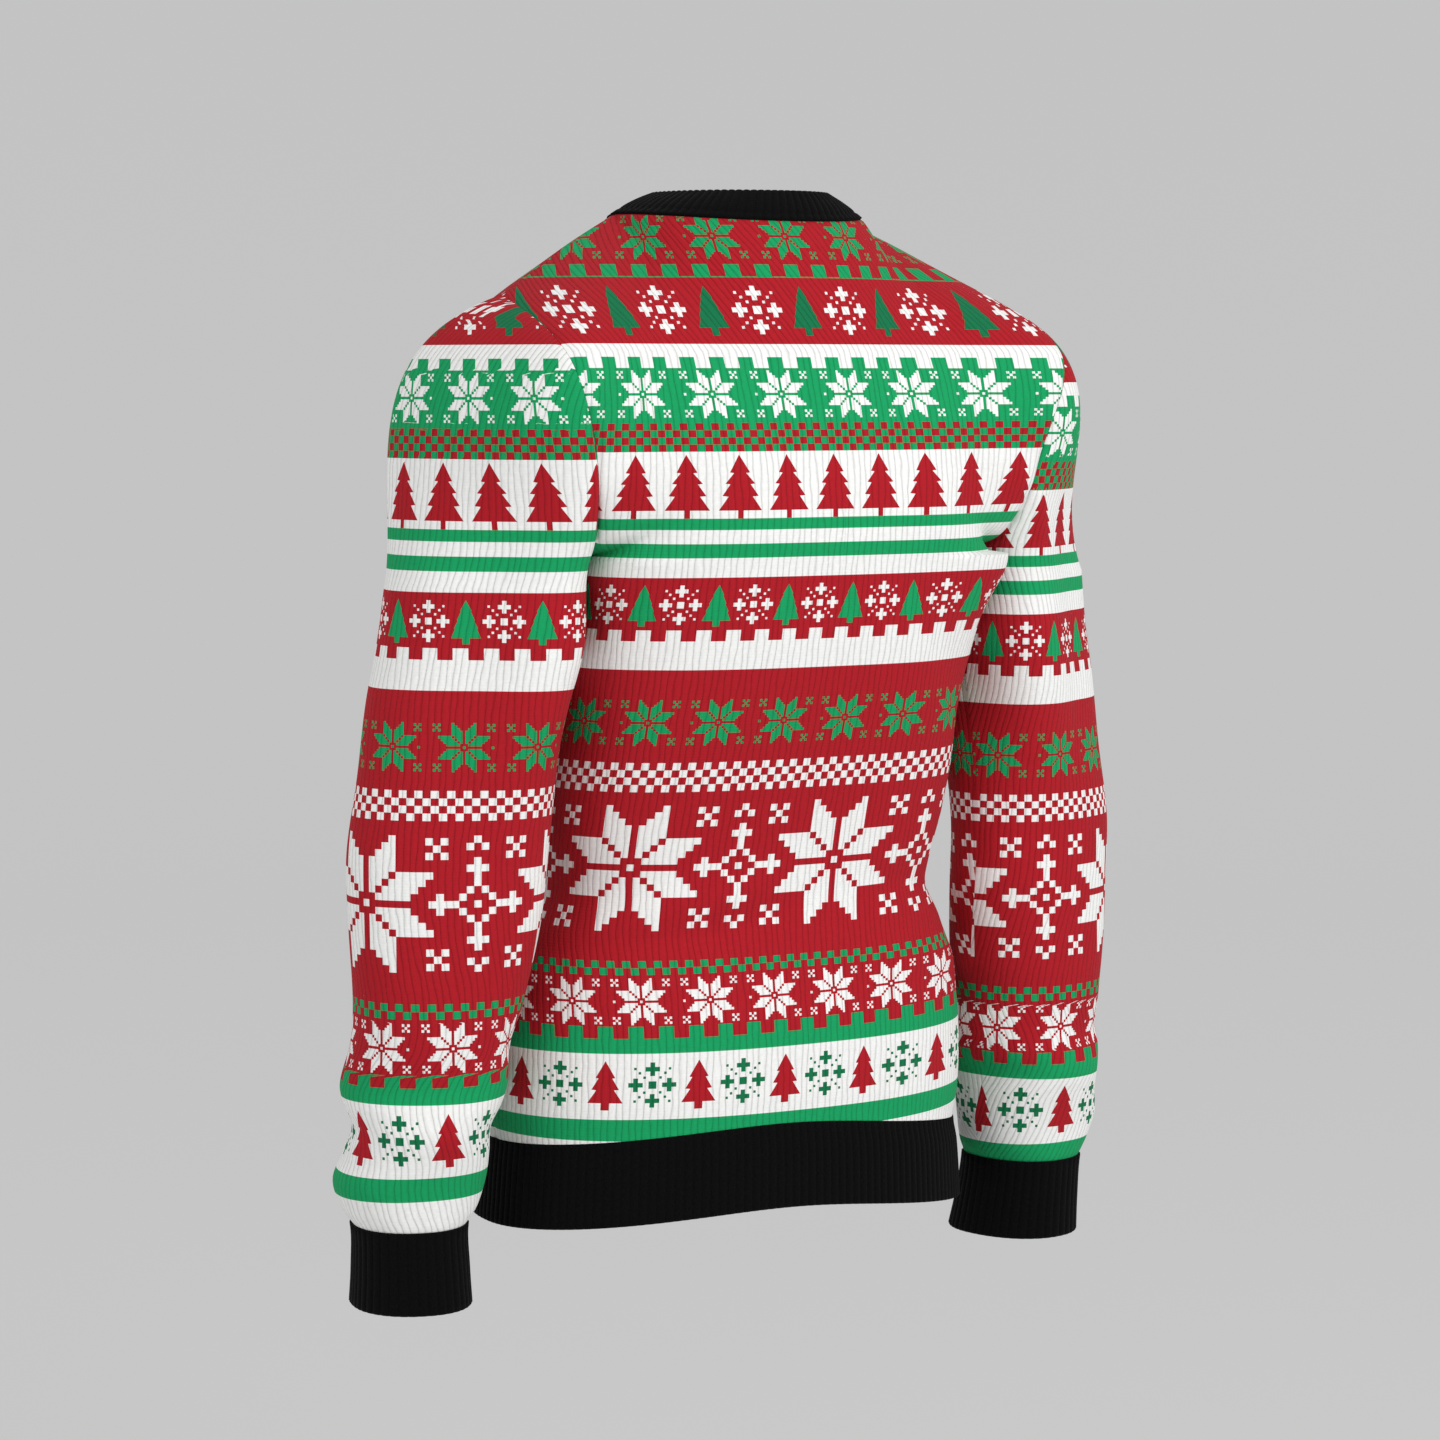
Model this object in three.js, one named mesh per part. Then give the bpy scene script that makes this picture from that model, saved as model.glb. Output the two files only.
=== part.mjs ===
// A knitted christmas sweater, worn shape with no wearer, in millimetres, +Z up.
// The front faces -Y and the wearer's left side is +X. The origin is the middle of the
// line between the two neck points, where the garment hangs on the wearer's shoulders.
import * as THREE from "three";

// Driving sizes
const WALL = 2.0; // thickness of the jersey
const BAND_WALL = 2.2; // thickness of the ribbed bands between their ribs
const SEAM_GAP = 0.3; // space left where two pieces are sewn together
const CHEST_LEVEL = -235; // level of the underarm points
const HEM_SEAM_LEVEL = -643; // where the hem band is sewn to front and back
const HEM_LEVEL = -700; // lower edge of the hem band
const ARM_TOP_LEVEL = -252; // where the cap of a sleeve turns into its tube
const CUFF_SEAM_LEVEL = -688;
const CUFF_LEVEL = -744; // lower edge of a cuff
const TIP = [193, 2, -57]; // outer end of the left shoulder seam
const SHOULDER_SHARE = 0.17; // share of a half's top edge that each shoulder seam takes
const SHOULDER_RISE = 2.5; // how far a shoulder seam arches over a straight line

// Ribs of the black bands: how many go round, and how far each stands out
const HEM_RIBS = 160;
const NECK_RIBS = 92;
const CUFF_RIBS = 42;
const RIB_HEIGHT = 0.9;

// Neck opening where the neckband is sewn on, and the neckband's upper edge
const NECK = { halfWidth: 91, y: -30, back: 90, front: 78, backDrop: 6, frontDrop: 84 };
const NECK_SQUARE = 2.2; // squareness of both rings, 2 is an ellipse
const NECK_DIP = 1.6; // power with which they sink towards their middles
const COLLAR = { halfWidth: 62, y: -24, back: 70, front: 66, rise: 14.5, frontDrop: 70 };

// Colours as they look at a distance
const RED = "#a51d27";
const BLACK = "#121212";

// Sections round front and back below the underarms. The dent is where the arms press.
const TORSO = table(
  ["level", "y", "halfWidth", "halfBack", "halfFront", "square", "dent"],
  [
    [-700, -45, 183, 122, 128, 2.3, 0],
    [-660, -45, 180, 121, 128, 2.3, 0],
    [-643, -46, 178, 119, 127, 2.3, 0],
    [-620, -46, 182, 121, 129, 2.3, 0],
    [-575, -45, 181, 121, 130, 2.35, 0],
    [-530, -43, 175, 114, 127, 2.4, 0],
    [-500, -41, 163, 109, 125, 2.45, 0],
    [-467, -38, 150, 106, 124, 2.5, 2],
    [-420, -32, 157, 109, 124, 2.6, 4],
    [-338, -16, 165, 118, 127, 2.7, 9],
    [-290, -6, 166, 121, 129, 2.8, 14],
    [-235, 6, 168, 119, 131, 3.0, 20],
  ],
);
const DENT_REACH = 62; // how far along Y the dent under an arm spreads
const CORNER_DRAW = 0.09; // how far columns of the grid are drawn towards a ring's corners
const DRAW_START = -420; // level from which columns draw together towards the armholes
const DRAW_LEAD = 0.04; // how far up an armhole the inner columns are ahead of its edge
const EDGE_REACH = 0.03; // share of a half over which the edge holds its columns back
const SIDE_REACH = 0.11; // share of a half over which an armhole pulls the cloth beside it
// Columns draw together beside an armhole by a share of a half, most of all low down on it
const EDGE_DRAW = { back: 0.115, front: 0.09, power: 0.75 };
// The hem's sway grows over some levels: a tilt to the left, a lift, and a drop in the middle
const HEM_SWAY = { start: -430, levels: 210, tilt: 5, lift: -2, back: 19, front: 6, power: 1.5 };
// Columns of the upper body: over how many levels their first direction is read, what share
// of their height it holds, and how they lean and reach beside the shoulders and by the neck
const COLUMN = { step: 30, hold: 0.36, sideLean: 1.15, neckLean: 0.6 };
const REACH = { side: 84, back: 62, front: 40 };
const INNER_START = 0.102; // share of a half where the turn from side to neck begins
// How far the shoulder blades and the chest stand out, and where and how wide they do
const BLADE = { out: 12, share: 0.18, spread: 0.1 };
const ARMHOLE_MIDDLE = [0, 15, -150]; // Y and Z of the middle of an armhole

// Sections round a left sleeve's tube and its cuff, seen along the arm. The inner half
// width faces the body, and the lobe is cloth pushed back behind the underarm.
const ARM = table(
  ["level", "x", "y", "inner", "outer", "deep", "turn", "square", "lobe"],
  [
    [-746, 247, -37, 40, 42, 49, -15, 2.2, 0],
    [-720, 249, -34, 39, 40, 46, -15, 2.2, 0],
    [-688, 251, -31, 39, 40, 44, -15, 2.2, 0],
    [-677, 252, -30, 46, 46, 45, -12, 2.2, 0],
    [-657, 252, -27, 51, 53, 47, -10, 2.2, 0],
    [-638, 249, -24, 49, 49, 52, -14, 2.2, 0],
    [-620, 245, -22, 46, 48, 58, -20, 2.2, 0],
    [-604, 243, -19, 51, 57, 54, -23, 2.2, 0],
    [-590, 243, -17, 54, 60, 48, -25, 2.2, 0],
    [-562, 241, -13, 52, 56, 51, -12, 2.2, 0],
    [-535, 239, -8, 57, 58, 51, -12, 2.2, 0],
    [-480, 236, -2, 64, 66, 50, -20, 2.15, 0],
    [-433, 235, 1, 67, 69, 49, -22, 2.15, 0],
    [-380, 226, 2, 63, 70, 50, -24, 2.15, 8],
    [-331, 216, 2, 57, 73, 54, -25, 2.15, 20],
    [-290, 208, 1, 54, 72, 57, -25, 2.15, 28],
    [-252, 205, 0, 51, 69, 58, -24, 2.15, 28],
  ],
);
const LOBE_ANGLE = 0.8; // where the lobe stands round the sleeve, from the inner side
const LOBE_REACH = 0.5;
// The cap of a sleeve leaves the armhole outwards and down, steeper at its foot than over
// the shoulder, and meets the tube from above. Both handles are shares of its length, and
// those behind the shoulder are shorter and lean more.
const CAP = {
  outFoot: 0.35,
  outTop: 0.65,
  backward: 0.12,
  forward: 0.3,
  down: 1.05,
  flat: 0.7,
  leaveFoot: 0.32,
  leaveTop: 0.2,
  leaveBehind: 0.22,
  arriveFoot: 0.42,
  arriveTop: 0.14,
  inwardTop: 0.2,
  inwardBehind: 0.45,
};

// Points on the left armhole from above the underarm up to below the shoulder tip
const BACK_ARMHOLE = [
  [160, 70, -225],
  [170, 97, -192],
  [175, 104, -164],
  [182, 109, -140],
  [189, 110, -118],
  [194, 102, -99],
  [196, 82, -84],
  [196, 46, -69],
];
const FRONT_ARMHOLE = [
  [155, -42, -222],
  [162, -74, -190],
  [165, -86, -155],
  [171, -84, -118],
  [180, -70, -88],
  [189, -38, -66],
];

// Largest folds of the body: where each lies round its half (0 left side, 1 right side),
// its level, how far it spreads each way, how much its line climbs, and its depth.
const FOLDS = table(
  ["half", "share", "level", "spreadShare", "spreadLevel", "climb", "depth"],
  [
    [1, 0.2, -497, 0.16, 13, 70, -4.0],
    [1, 0.24, -470, 0.17, 14, 60, 2.5],
    [1, 0.86, -470, 0.1, 12, -90, -3.0],
    [1, 0.8, -520, 0.15, 14, -60, 2.5],
    [1, 0.13, -300, 0.07, 40, 500, -3.0],
    [1, 0.87, -322, 0.08, 40, -400, -7.0],
    [1, 0.885, -240, 0.05, 27, 0, 12.0],
    [-1, 0.2, -500, 0.17, 14, 60, -3.5],
    [-1, 0.78, -480, 0.16, 13, -70, -3.5],
    [-1, 0.5, -560, 0.22, 15, 20, 2.0],
    [-1, 0.14, -290, 0.07, 38, 450, -3.0],
    [-1, 0.86, -290, 0.07, 38, -450, -3.0],
  ],
);

// Steps of the grids: shares across a half, and levels down the body and down the arm
const SHARES = mirrored([0, 0.03, 0.065, 0.1, 0.135, 0.17, 0.21, 0.26, 0.315, 0.375, 0.44, 0.5]);
const BODY_LEVELS = [
  -643, -622, -598, -575, -552, -530, -513, -497, -482, -467, -445, -420, -390, -360, -330, -300,
  -275, -253, -235,
];
const UPPER_STEPS = 10; // half of the sides of a sleeve, so that both share an armhole's points
const ARM_LEVELS = [
  -290, -330, -370, -410, -450, -490, -530, -560, -577, -590, -604, -620, -638, -657, -670, -679, -688,
];
const CAP_STEPS = 8;
const ARM_SIDES = 2 * UPPER_STEPS;
const BESIDE = 0.01; // how far round the neck edge its direction is read
const TINY = 1e-9; // keeps rounding from moving a point to the other side of a limit

// Names each column of a table's rows
function table(names, rows) {
  return rows.map((row) => Object.fromEntries(names.map((name, i) => [name, row[i]])));
}

function mirrored(half) {
  const rest = half.slice(0, -1).reverse();
  return half.concat(rest.map((share) => 1 - share));
}

function mix(a, b, t) {
  return a.map((value, i) => value * (1 - t) + b[i] * t);
}

function add(a, b, scale = 1) {
  return a.map((value, i) => value + b[i] * scale);
}

function minus(a, b) {
  return add(a, b, -1);
}

function unit(a) {
  const length = Math.hypot(...a);
  return a.map((value) => value / length);
}

function crossed(a, b) {
  return [a[1] * b[2] - a[2] * b[1], a[2] * b[0] - a[0] * b[2], a[0] * b[1] - a[1] * b[0]];
}

function clamp(value, low, high) {
  return Math.min(high, Math.max(low, value));
}

function smooth(t) {
  return t * t * (3 - 2 * t);
}

function bell(distance) {
  return Math.exp(-distance * distance);
}

// Smooth curve through points whose keys rise: a cubic between each two, with slopes
// from the neighbours on both sides.
function through(keys, points, key) {
  const last = keys.length - 1;
  const at = clamp(key, keys[0], keys[last]);
  let k = 0;
  while (k < last - 1 && at >= keys[k + 1]) k += 1;
  const slope = (i) => {
    const low = Math.max(i - 1, 0);
    const high = Math.min(i + 1, last);
    return minus(points[high], points[low]).map((value) => value / (keys[high] - keys[low]));
  };
  const span = keys[k + 1] - keys[k];
  const s = (at - keys[k]) / span;
  const weights = [2 * s ** 3 - 3 * s * s + 1, (s ** 3 - 2 * s * s + s) * span];
  weights.push(3 * s * s - 2 * s ** 3, (s ** 3 - s * s) * span);
  const parts = [points[k], slope(k), points[k + 1], slope(k + 1)];
  return parts[0].map((_, i) => parts.reduce((sum, part, j) => sum + part[i] * weights[j], 0));
}

// A table's row at any level
function section(rows, level) {
  const names = Object.keys(rows[0]);
  const keys = rows.map((row) => row.level);
  const values = through(keys, rows.map((row) => Object.values(row)), level);
  return Object.fromEntries(names.map((name, i) => [name, values[i]]));
}

// Distance from the middle of a rounded box to its outline at an angle
function superRadius(cosine, sine, halfX, halfY, square) {
  const sum = Math.abs(cosine / halfX) ** square + Math.abs(sine / halfY) ** square;
  return sum ** (-1 / square);
}

function foldDepth(level, share, half) {
  const rows = FOLDS.filter((fold) => fold.half === half);
  return rows.reduce((sum, fold) => {
    const across = (share - fold.share) / fold.spreadShare;
    const along = (level - fold.level - fold.climb * (share - fold.share)) / fold.spreadLevel;
    return sum + fold.depth * bell(across) * bell(along);
  }, 0);
}

// How far the hem sinks or rises from its level, growing from the waist down
function hemSway(level, cosine, sine, half) {
  const grow = smooth(clamp((HEM_SWAY.start - level) / HEM_SWAY.levels, 0, 1));
  const middle = (half > 0 ? HEM_SWAY.back : HEM_SWAY.front) * sine ** HEM_SWAY.power;
  return grow * (HEM_SWAY.tilt * cosine + HEM_SWAY.lift + middle);
}

// How far the edge of a half has moved round its ring, a share t of the way up an armhole
function edgeDraw(t, half) {
  return (half > 0 ? EDGE_DRAW.back : EDGE_DRAW.front) * Math.sin(Math.PI * t ** EDGE_DRAW.power);
}

// Place on its ring of a column of the grid: columns draw together beside an armhole, the
// inner ones a little before the edge does, and below the underarm the edge stays put.
function drawnShare(share, t, half) {
  const near = Math.min(share, 1 - share);
  const fade = (1 - 2 * near) ** 2;
  const inner = edgeDraw(Math.max(t, 0) * (1 - DRAW_LEAD) + DRAW_LEAD, half) * (t < 0 ? smooth(1 + t) : 1);
  const edge = t < 0 ? 0 : edgeDraw(t, half);
  const drawn = near + fade * (inner + (edge - inner) * bell(near / EDGE_REACH));
  return share <= 0.5 ? drawn : 1 - drawn;
}

// A point of the body below the underarms. The half is 1 for the back, -1 for the front.
function bodyPoint(level, share, half) {
  const row = section(TORSO, level);
  const angle = Math.PI * (share + CORNER_DRAW * Math.sin(2 * Math.PI * share));
  const cosine = Math.cos(angle);
  const sine = Math.sin(angle);
  const deep = half > 0 ? row.halfBack : row.halfFront;
  const radius = superRadius(cosine, sine, row.halfWidth, deep, row.square) + foldDepth(level, share, half);
  const y = radius * sine;
  const dent = Math.sign(cosine) * row.dent * bell(y / DENT_REACH);
  return [radius * cosine - dent, row.y + half * y, level + hemSway(level, cosine, sine, half)];
}

function ovalEdge(ring, angle, half) {
  const cosine = Math.cos(angle);
  const sine = Math.abs(Math.sin(angle));
  const power = 2 / NECK_SQUARE;
  const x = ring.halfWidth * Math.sign(cosine) * Math.abs(cosine) ** power;
  const deep = half > 0 ? ring.back : ring.front;
  return [x, ring.y + half * deep * sine ** power, sine ** NECK_DIP];
}

function neckPoint(share, half) {
  const [x, y, dip] = ovalEdge(NECK, Math.PI * share, half);
  return [x, y, -(half > 0 ? NECK.backDrop : NECK.frontDrop) * dip];
}

function collarPoint(share, half) {
  const [x, y, dip] = ovalEdge(COLLAR, Math.PI * share, half);
  return [x, y, COLLAR.rise - (half > 0 ? 0 : COLLAR.frontDrop) * dip];
}

// Upper edge of a half: left shoulder seam, neck, right shoulder seam
function topPoint(share, half) {
  const near = Math.min(share, 1 - share);
  const hand = share <= 0.5 ? 1 : -1;
  if (near >= SHOULDER_SHARE) {
    const round = ((near - SHOULDER_SHARE) / (0.5 - SHOULDER_SHARE)) * 0.5;
    const [x, y, z] = neckPoint(round, half);
    return [hand * x, y, z];
  }
  const along = near / SHOULDER_SHARE;
  const [x, y, z] = mix(TIP, neckPoint(0, half), along);
  return [hand * x, y, z + SHOULDER_RISE * Math.sin(Math.PI * along)];
}

function bezier(a, b, c, d, t) {
  const s = 1 - t;
  const weights = [s ** 3, 3 * s * s * t, 3 * s * t * t, t ** 3];
  return a.map((_, i) => a[i] * weights[0] + b[i] * weights[1] + c[i] * weights[2] + d[i] * weights[3]);
}

// The left armhole from the underarm (0) to the shoulder tip (1)
function armholePoint(t, half) {
  const inner = half > 0 ? BACK_ARMHOLE : FRONT_ARMHOLE;
  const points = [bodyPoint(CHEST_LEVEL, 0, half), ...inner, TIP];
  const keys = [0];
  for (let i = 1; i < points.length; i += 1) {
    keys.push(keys[i - 1] + Math.hypot(...minus(points[i], points[i - 1])));
  }
  return through(keys, points, t * keys[keys.length - 1]);
}

// A free column of the upper body: it leaves the chest upwards and meets the top edge
// from the side that it faces.
function upperColumn(share, t, half) {
  const start = bodyPoint(CHEST_LEVEL, share, half);
  const below = bodyPoint(CHEST_LEVEL - COLUMN.step, share, half);
  const end = topPoint(share, half);
  const near = Math.min(share, 1 - share);
  const inward = smooth(clamp((near - INNER_START) / (0.5 - INNER_START), 0, 1));
  const lean = COLUMN.sideLean * (1 - inward) + COLUMN.neckLean * inward;
  const reach = REACH.side * (1 - inward) + (half > 0 ? REACH.back : REACH.front) * inward;
  const rise = COLUMN.hold * (end[2] - CHEST_LEVEL);
  const second = add(start, minus(start, below), rise / COLUMN.step);
  const third = add(end, [0, half * Math.sin(lean), -Math.cos(lean)], reach);
  const blade = BLADE.out * Math.sin(Math.PI * t) * bell((near - BLADE.share) / BLADE.spread);
  return add(bezier(start, second, third, end, t), [0, half * blade, 0]);
}

// The upper body: columns drawn together beside an armhole, and pulled to it at the edge
function upperPoint(share, t, half) {
  const near = Math.min(share, 1 - share);
  const free = upperColumn(drawnShare(near, t, half), t, half);
  const miss = minus(armholePoint(t, half), upperColumn(edgeDraw(t, half), t, half));
  const [x, y, z] = add(free, miss, bell(near / SIDE_REACH));
  return [share <= 0.5 ? x : -x, y, z];
}

// A point of the left arm. The angle is 0 on the body's side and turns through the back.
function armPoint(level, angle) {
  const row = section(ARM, level);
  const cosine = Math.cos(angle);
  const sine = Math.sin(angle);
  const wide = cosine > 0 ? row.inner : row.outer;
  const lobe = row.lobe * bell((angle - LOBE_ANGLE) / LOBE_REACH);
  const radius = superRadius(cosine, sine, wide, row.deep, row.square) + lobe;
  const turn = (row.turn * Math.PI) / 180;
  const u = -radius * cosine;
  const v = radius * sine;
  const x = row.x + u * Math.cos(turn) - v * Math.sin(turn);
  return [x, row.y + u * Math.sin(turn) + v * Math.cos(turn), level];
}

// The left sleeve's cap, from the armhole (0) to the top of the tube (1)
function capPoint(angle, t) {
  const back = angle <= Math.PI;
  const round = (back ? angle : 2 * Math.PI - angle) / Math.PI;
  const edge = armholePoint(round, back ? 1 : -1);
  const end = armPoint(ARM_TOP_LEVEL, angle);
  const over = (1 - Math.cos(angle)) / 2;
  const behind = Math.max(0, Math.sin(angle)) * over;
  const out = unit([
    CAP.outFoot + CAP.outTop * over ** 2,
    CAP.backward * Math.sin(angle) - CAP.forward * over,
    CAP.flat * over ** 2 - CAP.down,
  ]);
  const length = Math.hypot(...minus(end, edge));
  const start = add(edge, [SEAM_GAP, 0, 0]);
  const leave = add(start, out, length * (CAP.leaveFoot + CAP.leaveTop * over - CAP.leaveBehind * behind));
  const up = [-CAP.inwardTop * over - CAP.inwardBehind * behind, 0, 1];
  const arrive = add(end, up, length * (CAP.arriveFoot - CAP.arriveTop * over));
  return bezier(start, leave, arrive, end, t);
}

// Outward unit normals of a grid of rows, each running anticlockwise seen from above
function normals(grid, closed) {
  return grid.map((row, i) =>
    row.map((_, j) => {
      const last = row.length - 1;
      const before = closed ? row[(j + last) % (last + 1)] : row[Math.max(j - 1, 0)];
      const after = closed ? row[(j + 1) % (last + 1)] : row[Math.min(j + 1, last)];
      const lower = grid[Math.max(i - 1, 0)][j];
      const upper = grid[Math.min(i + 1, grid.length - 1)][j];
      return unit(crossed(minus(after, before), minus(upper, lower)));
    }),
  );
}

function meshOf(name, points, faces, colour) {
  const geometry = new THREE.BufferGeometry();
  geometry.setAttribute("position", new THREE.Float32BufferAttribute(points.flat(), 3));
  geometry.setIndex(faces.flat());
  geometry.computeVertexNormals();
  const material = new THREE.MeshStandardMaterial({ color: colour, roughness: 0.9, metalness: 0 });
  const mesh = new THREE.Mesh(geometry, material);
  mesh.name = name;
  return mesh;
}

// At an armhole the walls of body and sleeve share one cut edge, square to the opening
function armholeNormal([, y, z]) {
  return unit([0, y - ARMHOLE_MIDDLE[1], z - ARMHOLE_MIDDLE[2]]);
}

// At side and shoulder seams the walls of front and back meet in a plane across Y
function seamNormal([x, , z]) {
  return unit([x, 0, z]);
}

// A wall with its outer points on a grid and its inner ones a thickness inside
function wall(name, grid, out, closed, colour) {
  const inner = grid.map((row, i) => row.map((point, j) => add(point, out[i][j], -WALL)));
  const rows = grid.length;
  const columns = grid[0].length;
  const points = [...grid.flat(), ...inner.flat()];
  const outside = (i, j) => i * columns + (j % columns);
  const inside = (i, j) => rows * columns + outside(i, j);
  const faces = [];
  const quad = (a, b, c, d) => faces.push([a, b, c], [a, c, d]);
  const steps = closed ? columns : columns - 1;
  for (let i = 0; i < rows - 1; i += 1) {
    for (let j = 0; j < steps; j += 1) {
      quad(outside(i, j), outside(i, j + 1), outside(i + 1, j + 1), outside(i + 1, j));
      quad(inside(i, j), inside(i + 1, j), inside(i + 1, j + 1), inside(i, j + 1));
    }
  }
  for (let j = 0; j < steps; j += 1) {
    quad(inside(0, j), inside(0, j + 1), outside(0, j + 1), outside(0, j));
    quad(outside(rows - 1, j), outside(rows - 1, j + 1), inside(rows - 1, j + 1), inside(rows - 1, j));
  }
  for (let i = 0; i < rows - 1 && !closed; i += 1) {
    quad(inside(i, 0), outside(i, 0), outside(i + 1, 0), inside(i + 1, 0));
    quad(outside(i, steps), inside(i, steps), inside(i + 1, steps), outside(i + 1, steps));
  }
  return meshOf(name, points, faces, colour);
}

// A ribbed band: ribs stand out of its outer points over a plain inside. Its rows are
// rings of base points, two to a rib, and the inside has one to a rib.
function ribbed(name, grid, colour) {
  const out = normals(grid, true);
  const outer = grid.map((row, i) => row.map((point, j) => add(point, out[i][j], j % 2 ? RIB_HEIGHT : 0)));
  const inner = grid.map((row, i) =>
    row.filter((_, j) => j % 2 === 0).map((point, k) => add(point, out[i][2 * k], -BAND_WALL)),
  );
  const rows = grid.length;
  const around = grid[0].length;
  const ribs = around / 2;
  const points = [...outer.flat(), ...inner.flat()];
  const outside = (i, j) => i * around + (j % around);
  const inside = (i, k) => rows * around + i * ribs + (k % ribs);
  const faces = [];
  for (let i = 0; i < rows - 1; i += 1) {
    for (let j = 0; j < around; j += 1) {
      faces.push([outside(i, j), outside(i, j + 1), outside(i + 1, j + 1)]);
      faces.push([outside(i, j), outside(i + 1, j + 1), outside(i + 1, j)]);
    }
    for (let k = 0; k < ribs; k += 1) {
      faces.push([inside(i, k), inside(i + 1, k), inside(i + 1, k + 1)]);
      faces.push([inside(i, k), inside(i + 1, k + 1), inside(i, k + 1)]);
    }
  }
  const top = rows - 1;
  for (let k = 0; k < ribs; k += 1) {
    const rib = 2 * k + 1;
    faces.push([inside(0, k), outside(0, rib), outside(0, rib - 1)]);
    faces.push([inside(0, k), inside(0, k + 1), outside(0, rib)]);
    faces.push([inside(0, k + 1), outside(0, rib + 1), outside(0, rib)]);
    faces.push([inside(top, k), outside(top, rib - 1), outside(top, rib)]);
    faces.push([inside(top, k), outside(top, rib), inside(top, k + 1)]);
    faces.push([inside(top, k + 1), outside(top, rib), outside(top, rib + 1)]);
  }
  return meshOf(name, points, faces, colour);
}

// Outward normal of the neckband at a place of a half's top edge
function bandNormal(share, half) {
  const near = Math.min(share, 1 - share);
  const round = ((near - SHOULDER_SHARE) / (0.5 - SHOULDER_SHARE)) * 0.5;
  const ahead = neckPoint(round + BESIDE, half);
  const along = minus(ahead, neckPoint(Math.max(round - BESIDE, 0), half));
  const up = minus(collarPoint(round, half), neckPoint(round, half));
  const across = unit(crossed(along, up));
  const [x, y, z] = across.map((value) => value * half);
  return [share <= 0.5 ? x : -x, y, z];
}

// Front or back, from the hem seam up to shoulders and neck
function panel(name, half) {
  const shares = half > 0 ? SHARES : [...SHARES].reverse();
  const apart = (point) => add(point, [0, (half * SEAM_GAP) / 2, 0]);
  const lower = BODY_LEVELS.map((level) => {
    const t = clamp((level - CHEST_LEVEL) / (CHEST_LEVEL - DRAW_START), -1, 0) - TINY;
    return shares.map((share) => bodyPoint(level, drawnShare(share, t, half), half));
  });
  const upper = Array.from({ length: UPPER_STEPS }, (_, i) =>
    shares.map((share) => upperPoint(share, (i + 1) / UPPER_STEPS, half)),
  );
  const grid = [...lower, ...upper].map((row) => row.map(apart));
  const out = normals(grid, false);
  const last = shares.length - 1;
  grid.forEach((row, i) => {
    for (const j of [0, last]) {
      out[i][j] = i < BODY_LEVELS.length - 1 ? seamNormal(out[i][j]) : armholeNormal(row[j]);
    }
  });
  const top = out[grid.length - 1];
  shares.forEach((share, j) => {
    const past = Math.min(share, 1 - share) - SHOULDER_SHARE;
    if (past > -TINY) top[j] = bandNormal(share, half);
    if (past < TINY && j > 0 && j < last) top[j] = seamNormal(top[j]);
  });
  return wall(name, grid, out, false, RED);
}

// Points of a ring that runs anticlockwise seen from above, evenly spaced along it
function evenRing(count, pointAt) {
  const FINE = 720;
  const points = Array.from({ length: FINE + 1 }, (_, i) => pointAt(i / FINE));
  const lengths = [0];
  for (let i = 1; i <= FINE; i += 1) {
    lengths.push(lengths[i - 1] + Math.hypot(...minus(points[i], points[i - 1])));
  }
  let k = 0;
  return Array.from({ length: count }, (_, i) => {
    const goal = (lengths[FINE] * i) / count;
    while (lengths[k + 1] <= goal) k += 1;
    return mix(points[k], points[k + 1], (goal - lengths[k]) / (lengths[k + 1] - lengths[k]));
  });
}

// Turns a place round the body, 0 to 1 from the left side through the back, into a half
function halfOf(round) {
  return round <= 0.5 ? [2 * round, 1] : [2 - 2 * round, -1];
}

function hemBand() {
  const grid = [HEM_LEVEL, HEM_SEAM_LEVEL].map((level) =>
    evenRing(2 * HEM_RIBS, (round) => add(bodyPoint(level, ...halfOf(round)), [0, 0, -SEAM_GAP])),
  );
  return ribbed("hem_band", grid, BLACK);
}

// The neck edge as the panels have it: straight between their points
function neckEdge(round) {
  const [share, half] = halfOf(round);
  const shares = SHARES.filter((value) => value > SHOULDER_SHARE - TINY && value < 1 - SHOULDER_SHARE + TINY);
  const rounds = shares.map((value) => (value - SHOULDER_SHARE) / (1 - 2 * SHOULDER_SHARE));
  const k = clamp(rounds.findIndex((value) => value > share) - 1, 0, rounds.length - 2);
  const next = share > rounds[rounds.length - 2] ? rounds.length - 2 : k;
  const along = (share - rounds[next]) / (rounds[next + 1] - rounds[next]);
  return mix(neckPoint(rounds[next], half), neckPoint(rounds[next + 1], half), along);
}

function neckband() {
  const grid = [0, 1].map((t) =>
    evenRing(2 * NECK_RIBS, (round) => {
      const low = neckEdge(round);
      const high = collarPoint(...halfOf(round));
      const start = add(low, unit(minus(high, low)), SEAM_GAP);
      return mix(start, high, t);
    }),
  );
  return ribbed("neckband", grid, BLACK);
}

// Angles run anticlockwise seen from above, so they fall from a full turn on the left arm
function armAngle(round) {
  return 2 * Math.PI * (1 - round);
}

function sleeveGrid() {
  const angles = Array.from({ length: ARM_SIDES }, (_, j) => armAngle(j / ARM_SIDES) % (2 * Math.PI));
  const tube = [...ARM_LEVELS].reverse().map((level) => angles.map((angle) => armPoint(level, angle)));
  const cap = Array.from({ length: CAP_STEPS + 1 }, (_, i) =>
    angles.map((angle) => capPoint(angle, 1 - i / CAP_STEPS)),
  );
  return [...tube, ...cap];
}

function cuffGrid() {
  return [CUFF_LEVEL, CUFF_SEAM_LEVEL].map((level) =>
    evenRing(2 * CUFF_RIBS, (round) => add(armPoint(level, armAngle(round)), [0, 0, -SEAM_GAP])),
  );
}

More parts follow.
